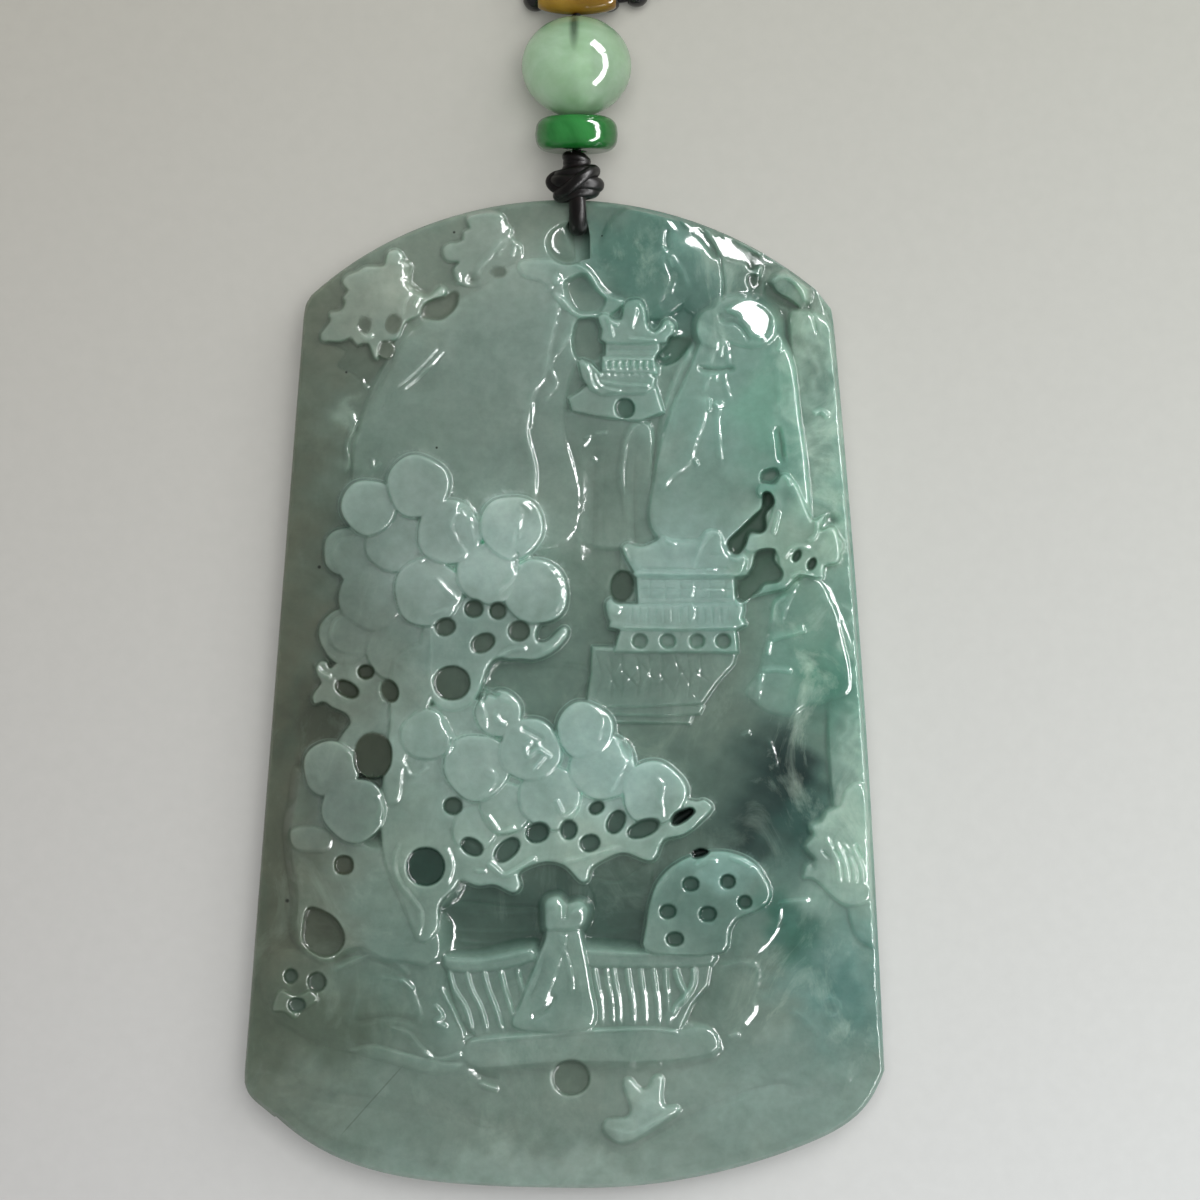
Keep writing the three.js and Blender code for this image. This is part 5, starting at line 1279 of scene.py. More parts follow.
def grid_of(P):
    """The grid place under a point in mm."""
    s = UNIT * (EYE - P[..., 2]) / 260.0
    return (P[..., 0] - MID[0]) / s + 600, 600 - (P[..., 1] - MID[1]) / s


def split_rim():
    """The outline as four sides that meet where it turns most."""
    top, right, foot, left = rim_curves()
    ring = np.vstack([top, right[1:], foot[::-1][1:], left[::-1][1:-1]])
    cuts = [int(np.argmin(np.hypot(ring[:, 0] - a, ring[:, 1] - b))) for a, b in ((303, 309), (831, 308), (877, 1095), (250, 1095))]
    ring = np.roll(ring, -cuts[0], 0)
    c = [0] + [(k - cuts[0]) % len(ring) for k in cuts[1:]]
    ring = np.vstack([ring, ring[:1]])
    return ring[c[0]:c[1] + 1], ring[c[1]:c[2] + 1], ring[c[2]:c[3] + 1][::-1], ring[c[3]:][::-1]


def patch(nu, nv):
    """Grid places over the face, following its outline."""
    top, right, foot, left = split_rim()
    T, B = even(top, nu), even(foot, nu)
    L, R = even(left, nv), even(right, nv)
    s, t = np.linspace(0, 1, nu)[None, :, None], np.linspace(0, 1, nv)[:, None, None]
    P = (1 - t) * T[None] + t * B[None] + (1 - s) * L[:, None] + s * R[:, None]
    P -= (1 - s) * (1 - t) * T[0] + s * (1 - t) * T[-1] + (1 - s) * t * B[0] + s * t * B[-1]
    return P


def rim_distance(u, v):
    top, right, foot, left = rim_curves()
    ring = np.vstack([top[::6], right[::8], foot[::-1][::5], left[::-1][::8]])
    return -sdf(u.astype(np.float32), v.astype(np.float32), ring)


def eased(h, d):
    """Rounds the face over to its rim, d grid units inside it."""
    q = np.clip(1 - d / 7.0, 0, 1)
    lim = RIM_Z + 0.42 * np.sqrt(np.maximum(1 - q * q, 0)) + 0.4 * np.maximum(d - 2.5, 0)
    return np.where(d < 40, smin(h, lim, 0.06), h)


NU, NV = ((620, 960))
P = patch(NU, NV)
gu, gv = P[..., 0], P[..., 1]
height = carve(gu, gv).h
D = rim_distance(gu, gv)
D[0], D[-1], D[:, 0], D[:, -1] = 0, 0, 0, 0
height = eased(height, D)
height[0], height[-1], height[:, 0], height[:, -1] = RIM_Z, RIM_Z, RIM_Z, RIM_Z
# a hair of unevenness keeps the mesh even where the stone is flat
height = height + 0.004 * (np.random.default_rng(7).random(height.shape) - 0.5) * (D > 0)
face = place(gu, gv, height)

idx = np.arange(NU * NV).reshape(NV, NU)
a, b, c, d = idx[:-1, :-1], idx[:-1, 1:], idx[1:, 1:], idx[1:, :-1]
flat = np.abs(height[:-1, :-1] - height[1:, 1:]) <= np.abs(height[:-1, 1:] - height[1:, :-1])
tri1 = np.where(flat[..., None], np.stack([a, d, c], -1), np.stack([a, d, b], -1))
tri2 = np.where(flat[..., None], np.stack([a, c, b], -1), np.stack([d, c, b], -1))
faces = [tri1.reshape(-1, 3), tri2.reshape(-1, 3)]
rim = np.r_[idx[0, :-1], idx[:-1, -1], idx[-1, :0:-1], idx[:0:-1, 0]]
verts = [face.reshape(-1, 3)]
count = NU * NV
rim_uv = np.c_[gu.reshape(-1)[rim], gv.reshape(-1)[rim]]
centre = np.array([565.0, 690.0])
inward = centre - rim_uv
# the outline's own inward normal, for the drawn-in foot of the wall
tang = np.roll(rim_uv, -3, 0) - np.roll(rim_uv, 3, 0)
nrm = np.c_[tang[:, 1], -tang[:, 0]]
nrm /= np.linalg.norm(nrm, axis=1, keepdims=True)
nrm *= np.sign((nrm * inward).sum(1))[:, None]
rim_xyz = face.reshape(-1, 3)[rim]
last = rim
wall = [(3.6, 0.02), (3.0, 0.05), (2.3, 0.10), (1.6, 0.17), (1.0, 0.26), (0.62, 0.36), (0.34, 0.52), (0.14, 0.76), (0.03, 1.02), (0.0, 1.35)]
for z, inset in wall:
    ring = rim_xyz.copy()
    ring[:, 0] += nrm[:, 0] * inset
    ring[:, 1] -= nrm[:, 1] * inset
    ring[:, 2] = z
    verts.append(ring)
    now = count + np.arange(len(rim))
    count += len(rim)
    p, q = np.roll(last, -1), np.roll(now, -1)
    faces += [np.c_[last, now, q], np.c_[last, q, p]]
    last = now
mid = np.array([0.0, 0.0, 0.0])
for f in (0.8, 0.5, 0.2):
    ring_in = (verts[len(wall)] * f)
    ring_in[:, 2] = 0.0
    verts.append(ring_in)
    now = count + np.arange(len(rim))
    count += len(rim)
    p, q = np.roll(last, -1), np.roll(now, -1)
    faces += [np.c_[last, now, q], np.c_[last, q, p]]
    last = now
verts.append(mid[None])
faces.append(np.c_[last, np.full(len(rim), count), np.roll(last, -1)])
verts, faces = np.vstack(verts), np.vstack(faces)

raw = mesh_object("jade_raw", verts, faces, scale=1.0)
face_out(raw)


def applied(ob):
    dg = bpy.context.evaluated_depsgraph_get()
    me = bpy.data.meshes.new_from_object(ob.evaluated_get(dg))
    ob.modifiers.clear()
    ob.data = me
    return me


# the hanging bore is cut with a plain closed rod
rod_v, rod_f = tube([(0.96 - 0.029 * s, 30.2 + 0.842 * s, 4.85 - 0.539 * s) for s in (-1.0, 1.5, 4.0, 6.5)], 0.85, seg=36)
rod = mesh_object("bore_tool", rod_v, rod_f, scale=1.0)
face_out(rod)
before = len(raw.data.polygons)
bm_mod = raw.modifiers.new("bore", "BOOLEAN")
bm_mod.operation = "DIFFERENCE"
bm_mod.object = rod
bm_mod.solver = "MANIFOLD"
bored = len(applied(raw).polygons)
mod = raw.modifiers.new("thin", "DECIMATE")
mod.ratio = min(1.0, 188000 / bored)
cut = applied(raw)
print("plaque triangles", before, "after the bore", bored, "thinned", len(cut.polygons))
bpy.data.objects.remove(rod)

n = len(cut.vertices)
co = np.empty(n * 3, np.float32)
cut.vertices.foreach_get("co", co)
co = co.reshape(-1, 3).astype(np.float64)
vu, vv = grid_of(co)

# the fine field again on a square raster, for the surface's normals and its colours
CELL = 0.75
ru, rv_ = np.arange(228, 902, CELL), np.arange(190, 1198, CELL)
RU, RV = np.meshgrid(ru, rv_)
work = carve(RU, RV)
field, eyes = work.h, work.eye
rd = rim_distance(RU, RV)
field = np.where(rd > 0, eased(field, np.maximum(rd, 0)), RIM_Z)
S = place(RU, RV, field)
du, dv = np.gradient(S, axis=1), np.gradient(S, axis=0)
fine = np.cross(dv, du)
fine /= np.linalg.norm(fine, axis=2, keepdims=True)


def sample(grid, u, v):
    x, y = np.clip((u - ru[0]) / CELL, 0, len(ru) - 1.001), np.clip((v - rv_[0]) / CELL, 0, len(rv_) - 1.001)
    i, j = x.astype(int), y.astype(int)
    fx, fy = x - i, y - j
    if grid.ndim == 3:
        fx, fy = fx[:, None], fy[:, None]
    return (grid[j, i] * (1 - fx) * (1 - fy) + grid[j, i + 1] * fx * (1 - fy) + grid[j + 1, i] * (1 - fx) * fy + grid[j + 1, i + 1] * fx * fy)


cut.shade_smooth()
geo = np.empty(n * 3, np.float32)
cut.vertices.foreach_get("normal", geo)
geo = geo.reshape(-1, 3)
want = sample(fine, vu, vv)
want /= np.linalg.norm(want, axis=1, keepdims=True)
zs = sample(field, vu, vv)
inside = sample(rd, vu, vv)
ok = (np.abs(zs - co[:, 2]) < 0.12) & (inside > 3) & ((geo * want).sum(1) > 0.8)
nor = np.where(ok[:, None], want, geo)

# ------------------------------------------------------------------ the stone's colour, with painted light and shade
def srgb(c):
    c = np.asarray(c, float)
    return np.where(c <= 0.04045, c / 12.92, ((c + 0.055) / 1.055) ** 2.4)


def soft(a, s):
    k = int(3 * s)
    x = np.arange(-k, k + 1)
    g = np.exp(-x * x / (2.0 * s * s))
    g /= g.sum()
    for axis in (0, 1):
        pad = [(k, k) if i == axis else (0, 0) for i in range(2)]
        p = np.pad(a, pad, "edge")
        out = np.zeros_like(a, float)
        m = a.shape[axis]
        for i, w in enumerate(g):
            out += w * (p[i:i + m] if axis == 0 else p[:, i:i + m])
        a = out
    return a


# tones of the low ground, darker as painted shade in the recesses; pale tones of the raised stone, lighter as painted
# light; and painted shade in the drilled eyes.
# Over the stone's own clouding, the pads and the left edge are painted darker on the left and lighter on the right, as
# the light falls. Columns: place, spread, colour, weight
LOW_GROUND_TONES_AND_SHADE = [
    ("base", 0, 0, 0, 0, (0.37, 0.44, 0.40), 1),
    ("olive left edge", 262, 720, 70, 520, (0.30, 0.317, 0.264), 0.95),
    # painted shadow: a dark olive patch at the left where shade falls
    ("olive painted shadow", 320, 725, 40, 34, (0.22, 0.245, 0.20), 0.9),
    ("head of the plaque", 470, 250, 130, 70, (0.455, 0.50, 0.455), 0.8),
    ("head corner", 335, 320, 60, 60, (0.36, 0.385, 0.335), 0.8),
    ("mid ground", 560, 680, 120, 110, (0.365, 0.445, 0.408), 0.8),
    ("behind the bridge", 600, 915, 150, 55, (0.225, 0.305, 0.275), 0.95),
    ("under the left tree", 490, 935, 60, 40, (0.235, 0.315, 0.28), 0.8),
    ("far dome", 640, 262, 52, 60, (0.27, 0.41, 0.37), 0.95),
    ("shaded rock by the dome", 690, 300, 36, 46, (0.24, 0.37, 0.34), 0.8),
    ("dark green rock", 794, 934, 24, 34, (0.17, 0.34, 0.285), 0.9),
    ("left hollow, big", 324, 931, 19, 23, (0.25, 0.285, 0.235), 0.9),
    ("left hollows", 309, 866, 12, 20, (0.265, 0.305, 0.255), 0.85),
    ("left hollow, upper", 308, 816, 10, 13, (0.29, 0.335, 0.285), 0.7),
    ("dark cloud in the stone", 772, 800, 46, 60, (0.10, 0.19, 0.18), 0.97),
    ("dark cloud, core", 790, 770, 22, 40, (0.05, 0.12, 0.115), 0.9),
    ("dark cloud, foot", 752, 838, 30, 26, (0.07, 0.14, 0.13), 0.9),
    ("dark cloud, right", 812, 822, 24, 40, (0.14, 0.27, 0.25), 0.9),
    ("dark cloud, lower", 800, 870, 44, 40, (0.27, 0.39, 0.36), 0.7),
    ("dark cloud, left", 700, 800, 60, 50, (0.27, 0.35, 0.32), 0.7),
    ("right edge", 862, 640, 40, 330, (0.42, 0.57, 0.52), 0.8),
    ("lower right", 850, 1000, 50, 80, (0.36, 0.50, 0.475), 0.8),
    ("bank, left", 330, 1020, 90, 40, (0.28, 0.33, 0.278), 0.8),
    ("foot", 590, 1120, 330, 66, (0.43, 0.49, 0.455), 0.8),
    ("foot, right", 780, 1100, 110, 60, (0.50, 0.585, 0.555), 0.8),
    ("foot, lowest", 570, 1176, 240, 26, (0.55, 0.62, 0.59), 0.7),
]
RAISED_TONES_AND_LIGHT = [
    ("base", 0, 0, 0, 0, (0.49, 0.575, 0.54), 1),
    ("far dome", 636, 262, 46, 56, (0.32, 0.455, 0.41), 0.95),
    ("pale shoulder", 692, 246, 24, 34, (0.50, 0.64, 0.60), 0.9),
    ("left mountain", 480, 400, 110, 130, (0.50, 0.565, 0.535), 0.9),
    ("left mountain, low", 480, 470, 120, 60, (0.42, 0.49, 0.46), 0.7),
    ("head, left clump", 380, 296, 56, 46, (0.60, 0.645, 0.60), 0.95),
    ("head, top clump", 486, 240, 46, 36, (0.55, 0.61, 0.575), 0.95),
    ("low left", 300, 900, 60, 260, (0.385, 0.415, 0.37), 0.85),
    ("upper pads, left", 356, 612, 58, 84, (0.345, 0.395, 0.36), 0.95),
    ("upper pads, middle", 430, 560, 60, 90, (0.49, 0.56, 0.535), 0.9),
    ("upper pads, right", 520, 550, 56, 60, (0.59, 0.675, 0.65), 0.95),
    ("upper pads, top", 395, 490, 60, 34, (0.48, 0.55, 0.52), 0.9),
    ("pad in shade", 401, 652, 24, 24, (0.385, 0.44, 0.405), 0.8),
    ("twigs", 490, 640, 80, 40, (0.44, 0.515, 0.485), 0.9),
    ("twigs, left", 350, 690, 60, 40, (0.41, 0.455, 0.415), 0.9),
    ("lower pads, left", 345, 800, 50, 60, (0.395, 0.45, 0.42), 0.95),
    ("trunk", 410, 860, 50, 110, (0.40, 0.475, 0.435), 0.85),
    ("lower pads", 500, 760, 90, 60, (0.53, 0.61, 0.58), 0.95),
    ("lower pads, right", 610, 760, 70, 60, (0.55, 0.65, 0.625), 0.95),
    ("lower twigs", 580, 850, 120, 30, (0.53, 0.61, 0.57), 0.9),
    ("cliff", 600, 480, 60, 120, (0.42, 0.49, 0.455), 0.95),
    ("upper pavilion", 630, 350, 60, 60, (0.46, 0.555, 0.52), 0.8),
    ("right mountain", 742, 400, 80, 90, (0.45, 0.575, 0.535), 0.9),
    ("right mountain, low", 730, 510, 80, 50, (0.43, 0.525, 0.485), 0.8),
    ("right mountain, dark crack", 785, 470, 22, 50, (0.27, 0.42, 0.38), 0.8),
    ("right mountain, green flank", 770, 410, 30, 60, (0.43, 0.61, 0.54), 0.7),
    ("pale corner", 815, 300, 34, 40, (0.60, 0.70, 0.62), 0.9),
    ("right strands", 830, 450, 36, 160, (0.53, 0.67, 0.615), 0.95),
    ("middle pavilion", 690, 580, 80, 60, (0.52, 0.62, 0.595), 0.9),
    ("stone base", 645, 680, 80, 34, (0.405, 0.485, 0.45), 0.9),
    ("boat", 642, 1110, 26, 26, (0.53, 0.62, 0.58), 0.8),
    ("bough", 800, 555, 50, 45, (0.57, 0.66, 0.60), 0.95),
    ("right rock", 800, 640, 60, 70, (0.375, 0.515, 0.465), 0.9),
    ("right rock, green heart", 822, 690, 44, 40, (0.24, 0.46, 0.39), 0.8),
    ("right rock, pale flank", 775, 690, 30, 50, (0.47, 0.60, 0.56), 0.7),
    ("leaves at the right", 850, 850, 34, 84, (0.58, 0.68, 0.63), 0.97),
    ("garden rock", 706, 905, 70, 60, (0.34, 0.445, 0.41), 0.95),
    ("garden rock, crown", 720, 864, 44, 20, (0.47, 0.60, 0.57), 0.8),
    ("dark green rock", 790, 934, 24, 32, (0.13, 0.31, 0.255), 0.95),
    ("lower right rocks", 826, 990, 50, 70, (0.42, 0.56, 0.54), 0.9),
    ("dark corner", 870, 1060, 14, 34, (0.12, 0.25, 0.23), 0.9),
    ("dark flank", 852, 1010, 14, 40, (0.26, 0.42, 0.40), 0.8),
    ("lower rocks by the rail", 735, 1000, 40, 50, (0.40, 0.475, 0.435), 0.8),
    ("walker and rail", 590, 985, 130, 60, (0.41, 0.50, 0.465), 0.9),
    ("mound, left", 400, 1000, 70, 50, (0.39, 0.475, 0.44), 0.9),
    ("bank, left", 320, 1030, 70, 36, (0.31, 0.365, 0.315), 0.85),
    ("foot", 600, 1120, 300, 60, (0.43, 0.49, 0.455), 0.85),
    ("foot, right", 780, 1070, 90, 50, (0.475, 0.56, 0.53), 0.85),
    ("boat", 640, 1108, 34, 32, (0.60, 0.69, 0.66), 0.95),
]
EYE_SHADE_TONES = [
    ("base", 0, 0, 0, 0, (0.26, 0.325, 0.285), 1),
    ("left", 340, 720, 90, 110, (0.20, 0.23, 0.18), 0.95),
    ("low left", 325, 900, 50, 60, (0.27, 0.29, 0.24), 0.95),
    ("head", 420, 315, 120, 80, (0.37, 0.405, 0.36), 0.95),
    ("upper tree", 485, 640, 70, 50, (0.29, 0.35, 0.31), 0.9),
    ("right", 760, 540, 60, 60, (0.25, 0.34, 0.29), 0.9),
    ("middle pavilion", 682, 641, 70, 16, (0.43, 0.525, 0.485), 0.97),
    ("dimple", 571, 1078, 26, 26, (0.37, 0.43, 0.39), 0.95),
    ("upper pavilion", 640, 370, 60, 60, (0.30, 0.42, 0.375), 0.9),
    ("lower tree", 560, 830, 130, 40, (0.25, 0.34, 0.305), 0.9),
    ("garden rock", 710, 905, 70, 50, (0.22, 0.33, 0.295), 0.9),
    ("big hollow", 425, 866, 34, 34, (0.12, 0.215, 0.18), 0.97),
    ("low right corner", 868, 1064, 30, 30, (0.05, 0.09, 0.085), 0.9),
    ("black slits", 700, 845, 24, 16, (0.02, 0.05, 0.045), 0.95),
    ("black slits, twig", 686, 815, 16, 10, (0.03, 0.06, 0.05), 0.95),
]


def tones(table, u, v):
    out = np.tile(np.array(table[0][5]), (len(u), 1))
    for _, u0, v0, ru0, rv0, colour, w in table[1:]:
        q = ((u - u0) / ru0) ** 2 + ((v - v0) / rv0) ** 2
        f = (w * np.exp(-0.7 * q ** 1.4))[:, None]
        out = out * (1 - f) + np.array(colour) * f
    return out


# the stone's clouds have ragged borders
wu = vu + 7 * np.sin(vv / 13.0 + 1.3) + 5 * np.sin((vu + vv) / 9.0) + 3.5 * np.sin((vu - 2 * vv) / 7.3 + 0.7)
wv = vv + 7 * np.sin(vu / 15.0 + 0.4) + 5 * np.sin((vu - vv) / 10.0 + 2.1) + 3.5 * np.sin((2 * vu + vv) / 8.1)
hollow = np.clip(field - soft(field, 9), -2.0, 0.8)
rel = sample(hollow, vu, vv)
# painted light: a wall takes the pale tone of the form above it, so it doesn't read as shaded
upper = field.copy()
for dy in (-2, 0, 2):
    for dx in (-2, 0, 2):
        upper = np.maximum(upper, np.roll(np.roll(field, dy, 0), dx, 1))
zt = np.maximum(sample(upper, vu, vv), co[:, 2])
z = co[:, 2]
# painted light and shade: the higher the stone, the paler its tone; the low ground takes the darker tones
raised_light_mix = np.clip((zt - 4.3) / (6.2 - 4.3), 0, 1)
raised_light_mix = np.where(z < 3.0, 0.25, raised_light_mix)
raised_light_mix = (raised_light_mix * raised_light_mix * (3 - 2 * raised_light_mix))[:, None]
stone = tones(LOW_GROUND_TONES_AND_SHADE, wu, wv) * (1 - raised_light_mix) + tones(RAISED_TONES_AND_LIGHT, wu, wv) * raised_light_mix
# painted shade: drilled eyes and slots take the dark eye tones
eye = (sample(eyes, vu, vv) * (z > 2.5))[:, None]
stone = stone * (1 - eye) + tones(EYE_SHADE_TONES, vu, vv) * eye
# painted light: hollows, raised relief and steep walls are lightened, standing in for light that comes through the
# stone
stone *= (1 - 0.06 * np.clip(rel, -1.5, 0.0) + 0.07 * np.clip(rel, 0, 0.8) + 0.24 * (1 - np.clip(nor[:, 2], 0.3, 1)) * (z > 3.6))[:, None]
# painted light: creases between the raised pads are lightened to cancel their shade
crease_fill_light = field.copy()
for axis in (0, 1):
    crease_fill_light = sum(np.roll(crease_fill_light, k, axis) for k in range(-4, 5)) / 9
crease_fill_light = sample(crease_fill_light - field, vu, vv)
stone *= (1 + 0.15 * np.clip(crease_fill_light / 0.3, 0, 1) * np.clip((z - 5.2) / 0.8, 0, 1) * (1 - eye[:, 0]) * (inside > 6))[:, None]
# pale strands that run down the right-hand side
for P, wide, k in (([(787, 352), (797, 400), (799, 424), (806, 448), (815, 466), (819, 492)], 5, 0.3), ([(800, 330), (815, 380), (822, 440), (835, 500), (842, 560)], 6, 0.3),
                   ([(812, 300), (828, 350), (838, 420), (846, 500)], 7, 0.3), ([(855, 640), (862, 720), (866, 800)], 6, 0.35), ([(843, 690), (849, 740), (851, 790)], 5, 0.3),
                   ([(779, 332), (782, 360), (782, 400), (786, 430)], 5, 0.25), ([(824, 584), (833, 601), (846, 632), (855, 656)], 3.5, 0.35),
                   ([(352, 395), (350, 430), (346, 470)], 9, 0.14), ([(362, 378), (354, 410), (350, 440)], 4, 0.2)):
    d, _, q = along(wu, wv, curve(P, False, 4))
    k = (k * np.exp(-(d / wide) ** 2) * np.clip(np.minimum(q, 1 - q) / 0.15, 0, 1))[:, None]
    stone = stone * (1 - k) + np.array((0.70, 0.80, 0.745)) * k
stone = srgb(np.clip(stone, 0, 1))
veins = np.zeros(n)
for u0, v0, ru0, rv0, w in ((830, 430, 40, 190, 1.0), (850, 830, 40, 90, 0.9), (800, 700, 70, 140, 0.75), (740, 300, 80, 70, 0.8), (820, 1000, 80, 80, 0.7), (640, 260, 60, 50, 0.6), (800, 560, 50, 60, 0.7), (500, 900, 400, 400, 0.22)):
    veins = np.maximum(veins, w * np.exp(-0.8 * (((vu - u0) / ru0) ** 2 + ((vv - v0) / rv0) ** 2) ** 1.3))
veins *= 1 - eye[:, 0]

cut.vertices.foreach_set("co", (co * MM).astype(np.float32).ravel())
# the vertex colour "stone" holds the stone's tone together with its painted light and shade
att = cut.attributes.new("stone", "FLOAT_COLOR", "POINT")
att.data.foreach_set("color", np.c_[stone, np.ones(n)].astype(np.float32).ravel())
att = cut.attributes.new("veins", "FLOAT", "POINT")
att.data.foreach_set("value", veins.astype(np.float32))
cut.update()
cut.normals_split_custom_set_from_vertices([tuple(q) for q in nor.astype(float)])
plaque = raw
plaque.name = "jade_plaque_stone"
cut.name = "jade_plaque_stone"
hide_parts("jade_plaque")
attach(plaque, "root")


# ------------------------------------------------------------------ materials
class Nodes:
    """A short way to write a node material."""

    def __init__(self, name):
        self.mat = bpy.data.materials.new(name)
        self.mat.use_nodes = True
        self.t = self.mat.node_tree
        self.bsdf = self.t.nodes["Principled BSDF"]
        self.pos = self.add("ShaderNodeTexCoord").outputs["Object"]

    def add(self, kind, **props):
        nd = self.t.nodes.new(kind)
        for k, v in props.items():
            setattr(nd, k, v)
        return nd

    def link(self, a, b):
        self.t.links.new(a, b)

    def feed(self, sock, value):
        if hasattr(value, "is_output"):
            self.link(value, sock)
        else:
            sock.default_value = value

    def place(self, stretch=(1, 1, 1), turn=(0, 0, 0)):
        m = self.add("ShaderNodeMapping")
        m.inputs["Scale"].default_value = stretch
        m.inputs["Rotation"].default_value = turn
        self.link(self.pos, m.inputs["Vector"])
        return m.outputs["Vector"]

    def noise(self, scale, detail=4, rough=0.55, warp=0.0, at=None):
        nd = self.add("ShaderNodeTexNoise")
        nd.inputs["Scale"].default_value = scale
        nd.inputs["Detail"].default_value = detail
        nd.inputs["Roughness"].default_value = rough
        nd.inputs["Distortion"].default_value = warp
        self.link(at or self.pos, nd.inputs["Vector"])
        return nd.outputs["Fac"]

    def ramp(self, fac, stops):
        nd = self.add("ShaderNodeValToRGB")
        els = nd.color_ramp.elements
        while len(els) < len(stops):
            els.new(0.5)
        for el, (p, c) in zip(els, stops):
            el.position = p
            el.color = c if len(c) == 4 else (*c, 1)
        self.link(fac, nd.inputs["Fac"])
        return nd.outputs["Color"]

    def band(self, fac, lo, hi, a=0.0, b=1.0):
        nd = self.add("ShaderNodeMapRange", clamp=True)
        nd.inputs["From Min"].default_value = lo
        nd.inputs["From Max"].default_value = hi
        nd.inputs["To Min"].default_value = a
        nd.inputs["To Max"].default_value = b
        self.link(fac, nd.inputs["Value"])
        return nd.outputs["Result"]

    def math(self, op, a, b=0.0):
        nd = self.add("ShaderNodeMath", operation=op)
        self.feed(nd.inputs[0], a)
        self.feed(nd.inputs[1], b)
        return nd.outputs[0]

    def mix(self, fac, a, b, blend="MIX"):
        nd = self.add("ShaderNodeMix", data_type="RGBA", blend_type=blend)
        nd.clamp_factor = True
        self.feed(nd.inputs["Factor"], fac)
        for s, val in ((nd.inputs[6], a), (nd.inputs[7], b)):
            self.feed(s, (*val, 1) if isinstance(val, tuple) and len(val) == 3 else val)
        return nd.outputs[2]

    def bump(self, height, strength, distance):
        nd = self.add("ShaderNodeBump")
        nd.inputs["Strength"].default_value = strength
        nd.inputs["Distance"].default_value = distance
        self.link(height, nd.inputs["Height"])
        self.link(nd.outputs["Normal"], self.bsdf.inputs["Normal"])

    def set(self, **vals):
        for k, v in vals.items():
            self.feed(self.bsdf.inputs[k.replace("_", " ")], v)


def grey(x):
    return (x, x, x)


def lin(r, g, b):
    return tuple(float(x) for x in srgb((r, g, b)))


# jadeite: the vertex tone with its painted light and shade, clouded, with pale fibrous veins and a few dark specks
m = Nodes("jadeite")
tone = m.add("ShaderNodeAttribute", attribute_name="stone").outputs["Color"]
vein = m.add("ShaderNodeAttribute", attribute_name="veins").outputs["Fac"]
big = m.noise(140, 5, 0.6, 0.6)
mid_n = m.noise(420, 5, 0.62, 0.4)
small = m.noise(1500, 4, 0.6)
col = m.mix(1.0, tone, m.ramp(big, [(0.25, (0.86, 0.90, 0.89)), (0.5, grey(1.0)), (0.78, (1.12, 1.09, 1.08))]), "MULTIPLY")
col = m.mix(1.0, col, m.ramp(mid_n, [(0.3, (0.89, 0.91, 0.90)), (0.5, grey(1.0)), (0.72, (1.11, 1.09, 1.09))]), "MULTIPLY")
col = m.mix(1.0, col, m.ramp(small, [(0.3, grey(0.93)), (0.7, grey(1.07))]), "MULTIPLY")
fibre = m.noise(170, 8, 0.66, 1.6, at=m.place((1.25, 0.75, 1.0), (0, 0, 0.25)))
streak = m.math("MULTIPLY", m.band(fibre, 0.52, 0.72), vein)
col = m.mix(m.math("MULTIPLY", streak, 0.55), col, lin(0.74, 0.83, 0.77))
dark_fib = m.noise(120, 7, 0.64, 1.3, at=m.place((1.2, 0.8, 1.0), (0, 0, -0.4)))
dark = m.math("MULTIPLY", m.band(dark_fib, 0.50, 0.30), vein)
col = m.mix(m.math("MULTIPLY", dark, 0.6), col, lin(0.24, 0.40, 0.355))
# black specks in the stone
flat_pos = m.place((1, 1, 0))
for su, sv, sr in ((454, 232, 1.3), (346, 372, 1.2), (437, 448, 1.2), (319, 567, 1.8), (287, 901, 2.0), (602, 236, 0.9)):
    nd = m.add("ShaderNodeVectorMath", operation="DISTANCE")
    m.link(flat_pos, nd.inputs[0])
    at = place(np.float64(su), np.float64(sv), 4.6) * MM
    nd.inputs[1].default_value = (float(at[0]), float(at[1]), 0.0)
    spot = m.band(nd.outputs["Value"], sr * 0.55 * UNIT * MM, sr * 1.3 * UNIT * MM, 0.9, 0.0)
    col = m.mix(spot, col, (0.008, 0.010, 0.008))
# a fine crack that runs down at the lower left
top, low = [place(np.float64(cu_), np.float64(cv_), 4.6) * MM for cu_, cv_ in ((404, 1064), (341, 1135))]
mid_at, half = (top + low) / 2, (low - top) / 2
reach = float(np.hypot(half[0], half[1]))
run = []
for ex, ey, size in ((half[0] / reach, half[1] / reach, reach), (-half[1] / reach, half[0] / reach, 0.9 * UNIT * MM)):
    nd = m.add("ShaderNodeVectorMath", operation="DOT_PRODUCT")
    m.link(flat_pos, nd.inputs[0])
    nd.inputs[1].default_value = (float(ex / size), float(ey / size), 0.0)
    off = m.math("SUBTRACT", nd.outputs["Value"], float((mid_at[0] * ex + mid_at[1] * ey) / size))
    run.append(m.math("MULTIPLY", off, off))
bow = m.math("MULTIPLY", run[0], run[0])
col = m.mix(m.band(m.math("ADD", m.math("MULTIPLY", bow, bow), run[1]), 0.1, 1.1, 0.42, 0.0), col, lin(0.25, 0.30, 0.27))
patchy = m.ramp(m.noise(105, 7, 0.62, 1.2), [(0.3, (0.66, 0.74, 0.74)), (0.5, grey(1.0)), (0.7, (1.30, 1.20, 1.18))])
col = m.mix(m.math("MULTIPLY", vein, 0.8), col, m.mix(1.0, col, patchy, "MULTIPLY"))
m.set(Base_Color=col, IOR=1.66, Subsurface_Weight=0.75, Subsurface_Scale=0.0020, Coat_Weight=0.0)
m.bsdf.inputs["Subsurface Radius"].default_value = (0.8, 1.0, 0.92)
rough = m.band(m.noise(900, 3), 0.3, 0.7, 0.10, 0.19)
m.set(Roughness=rough)
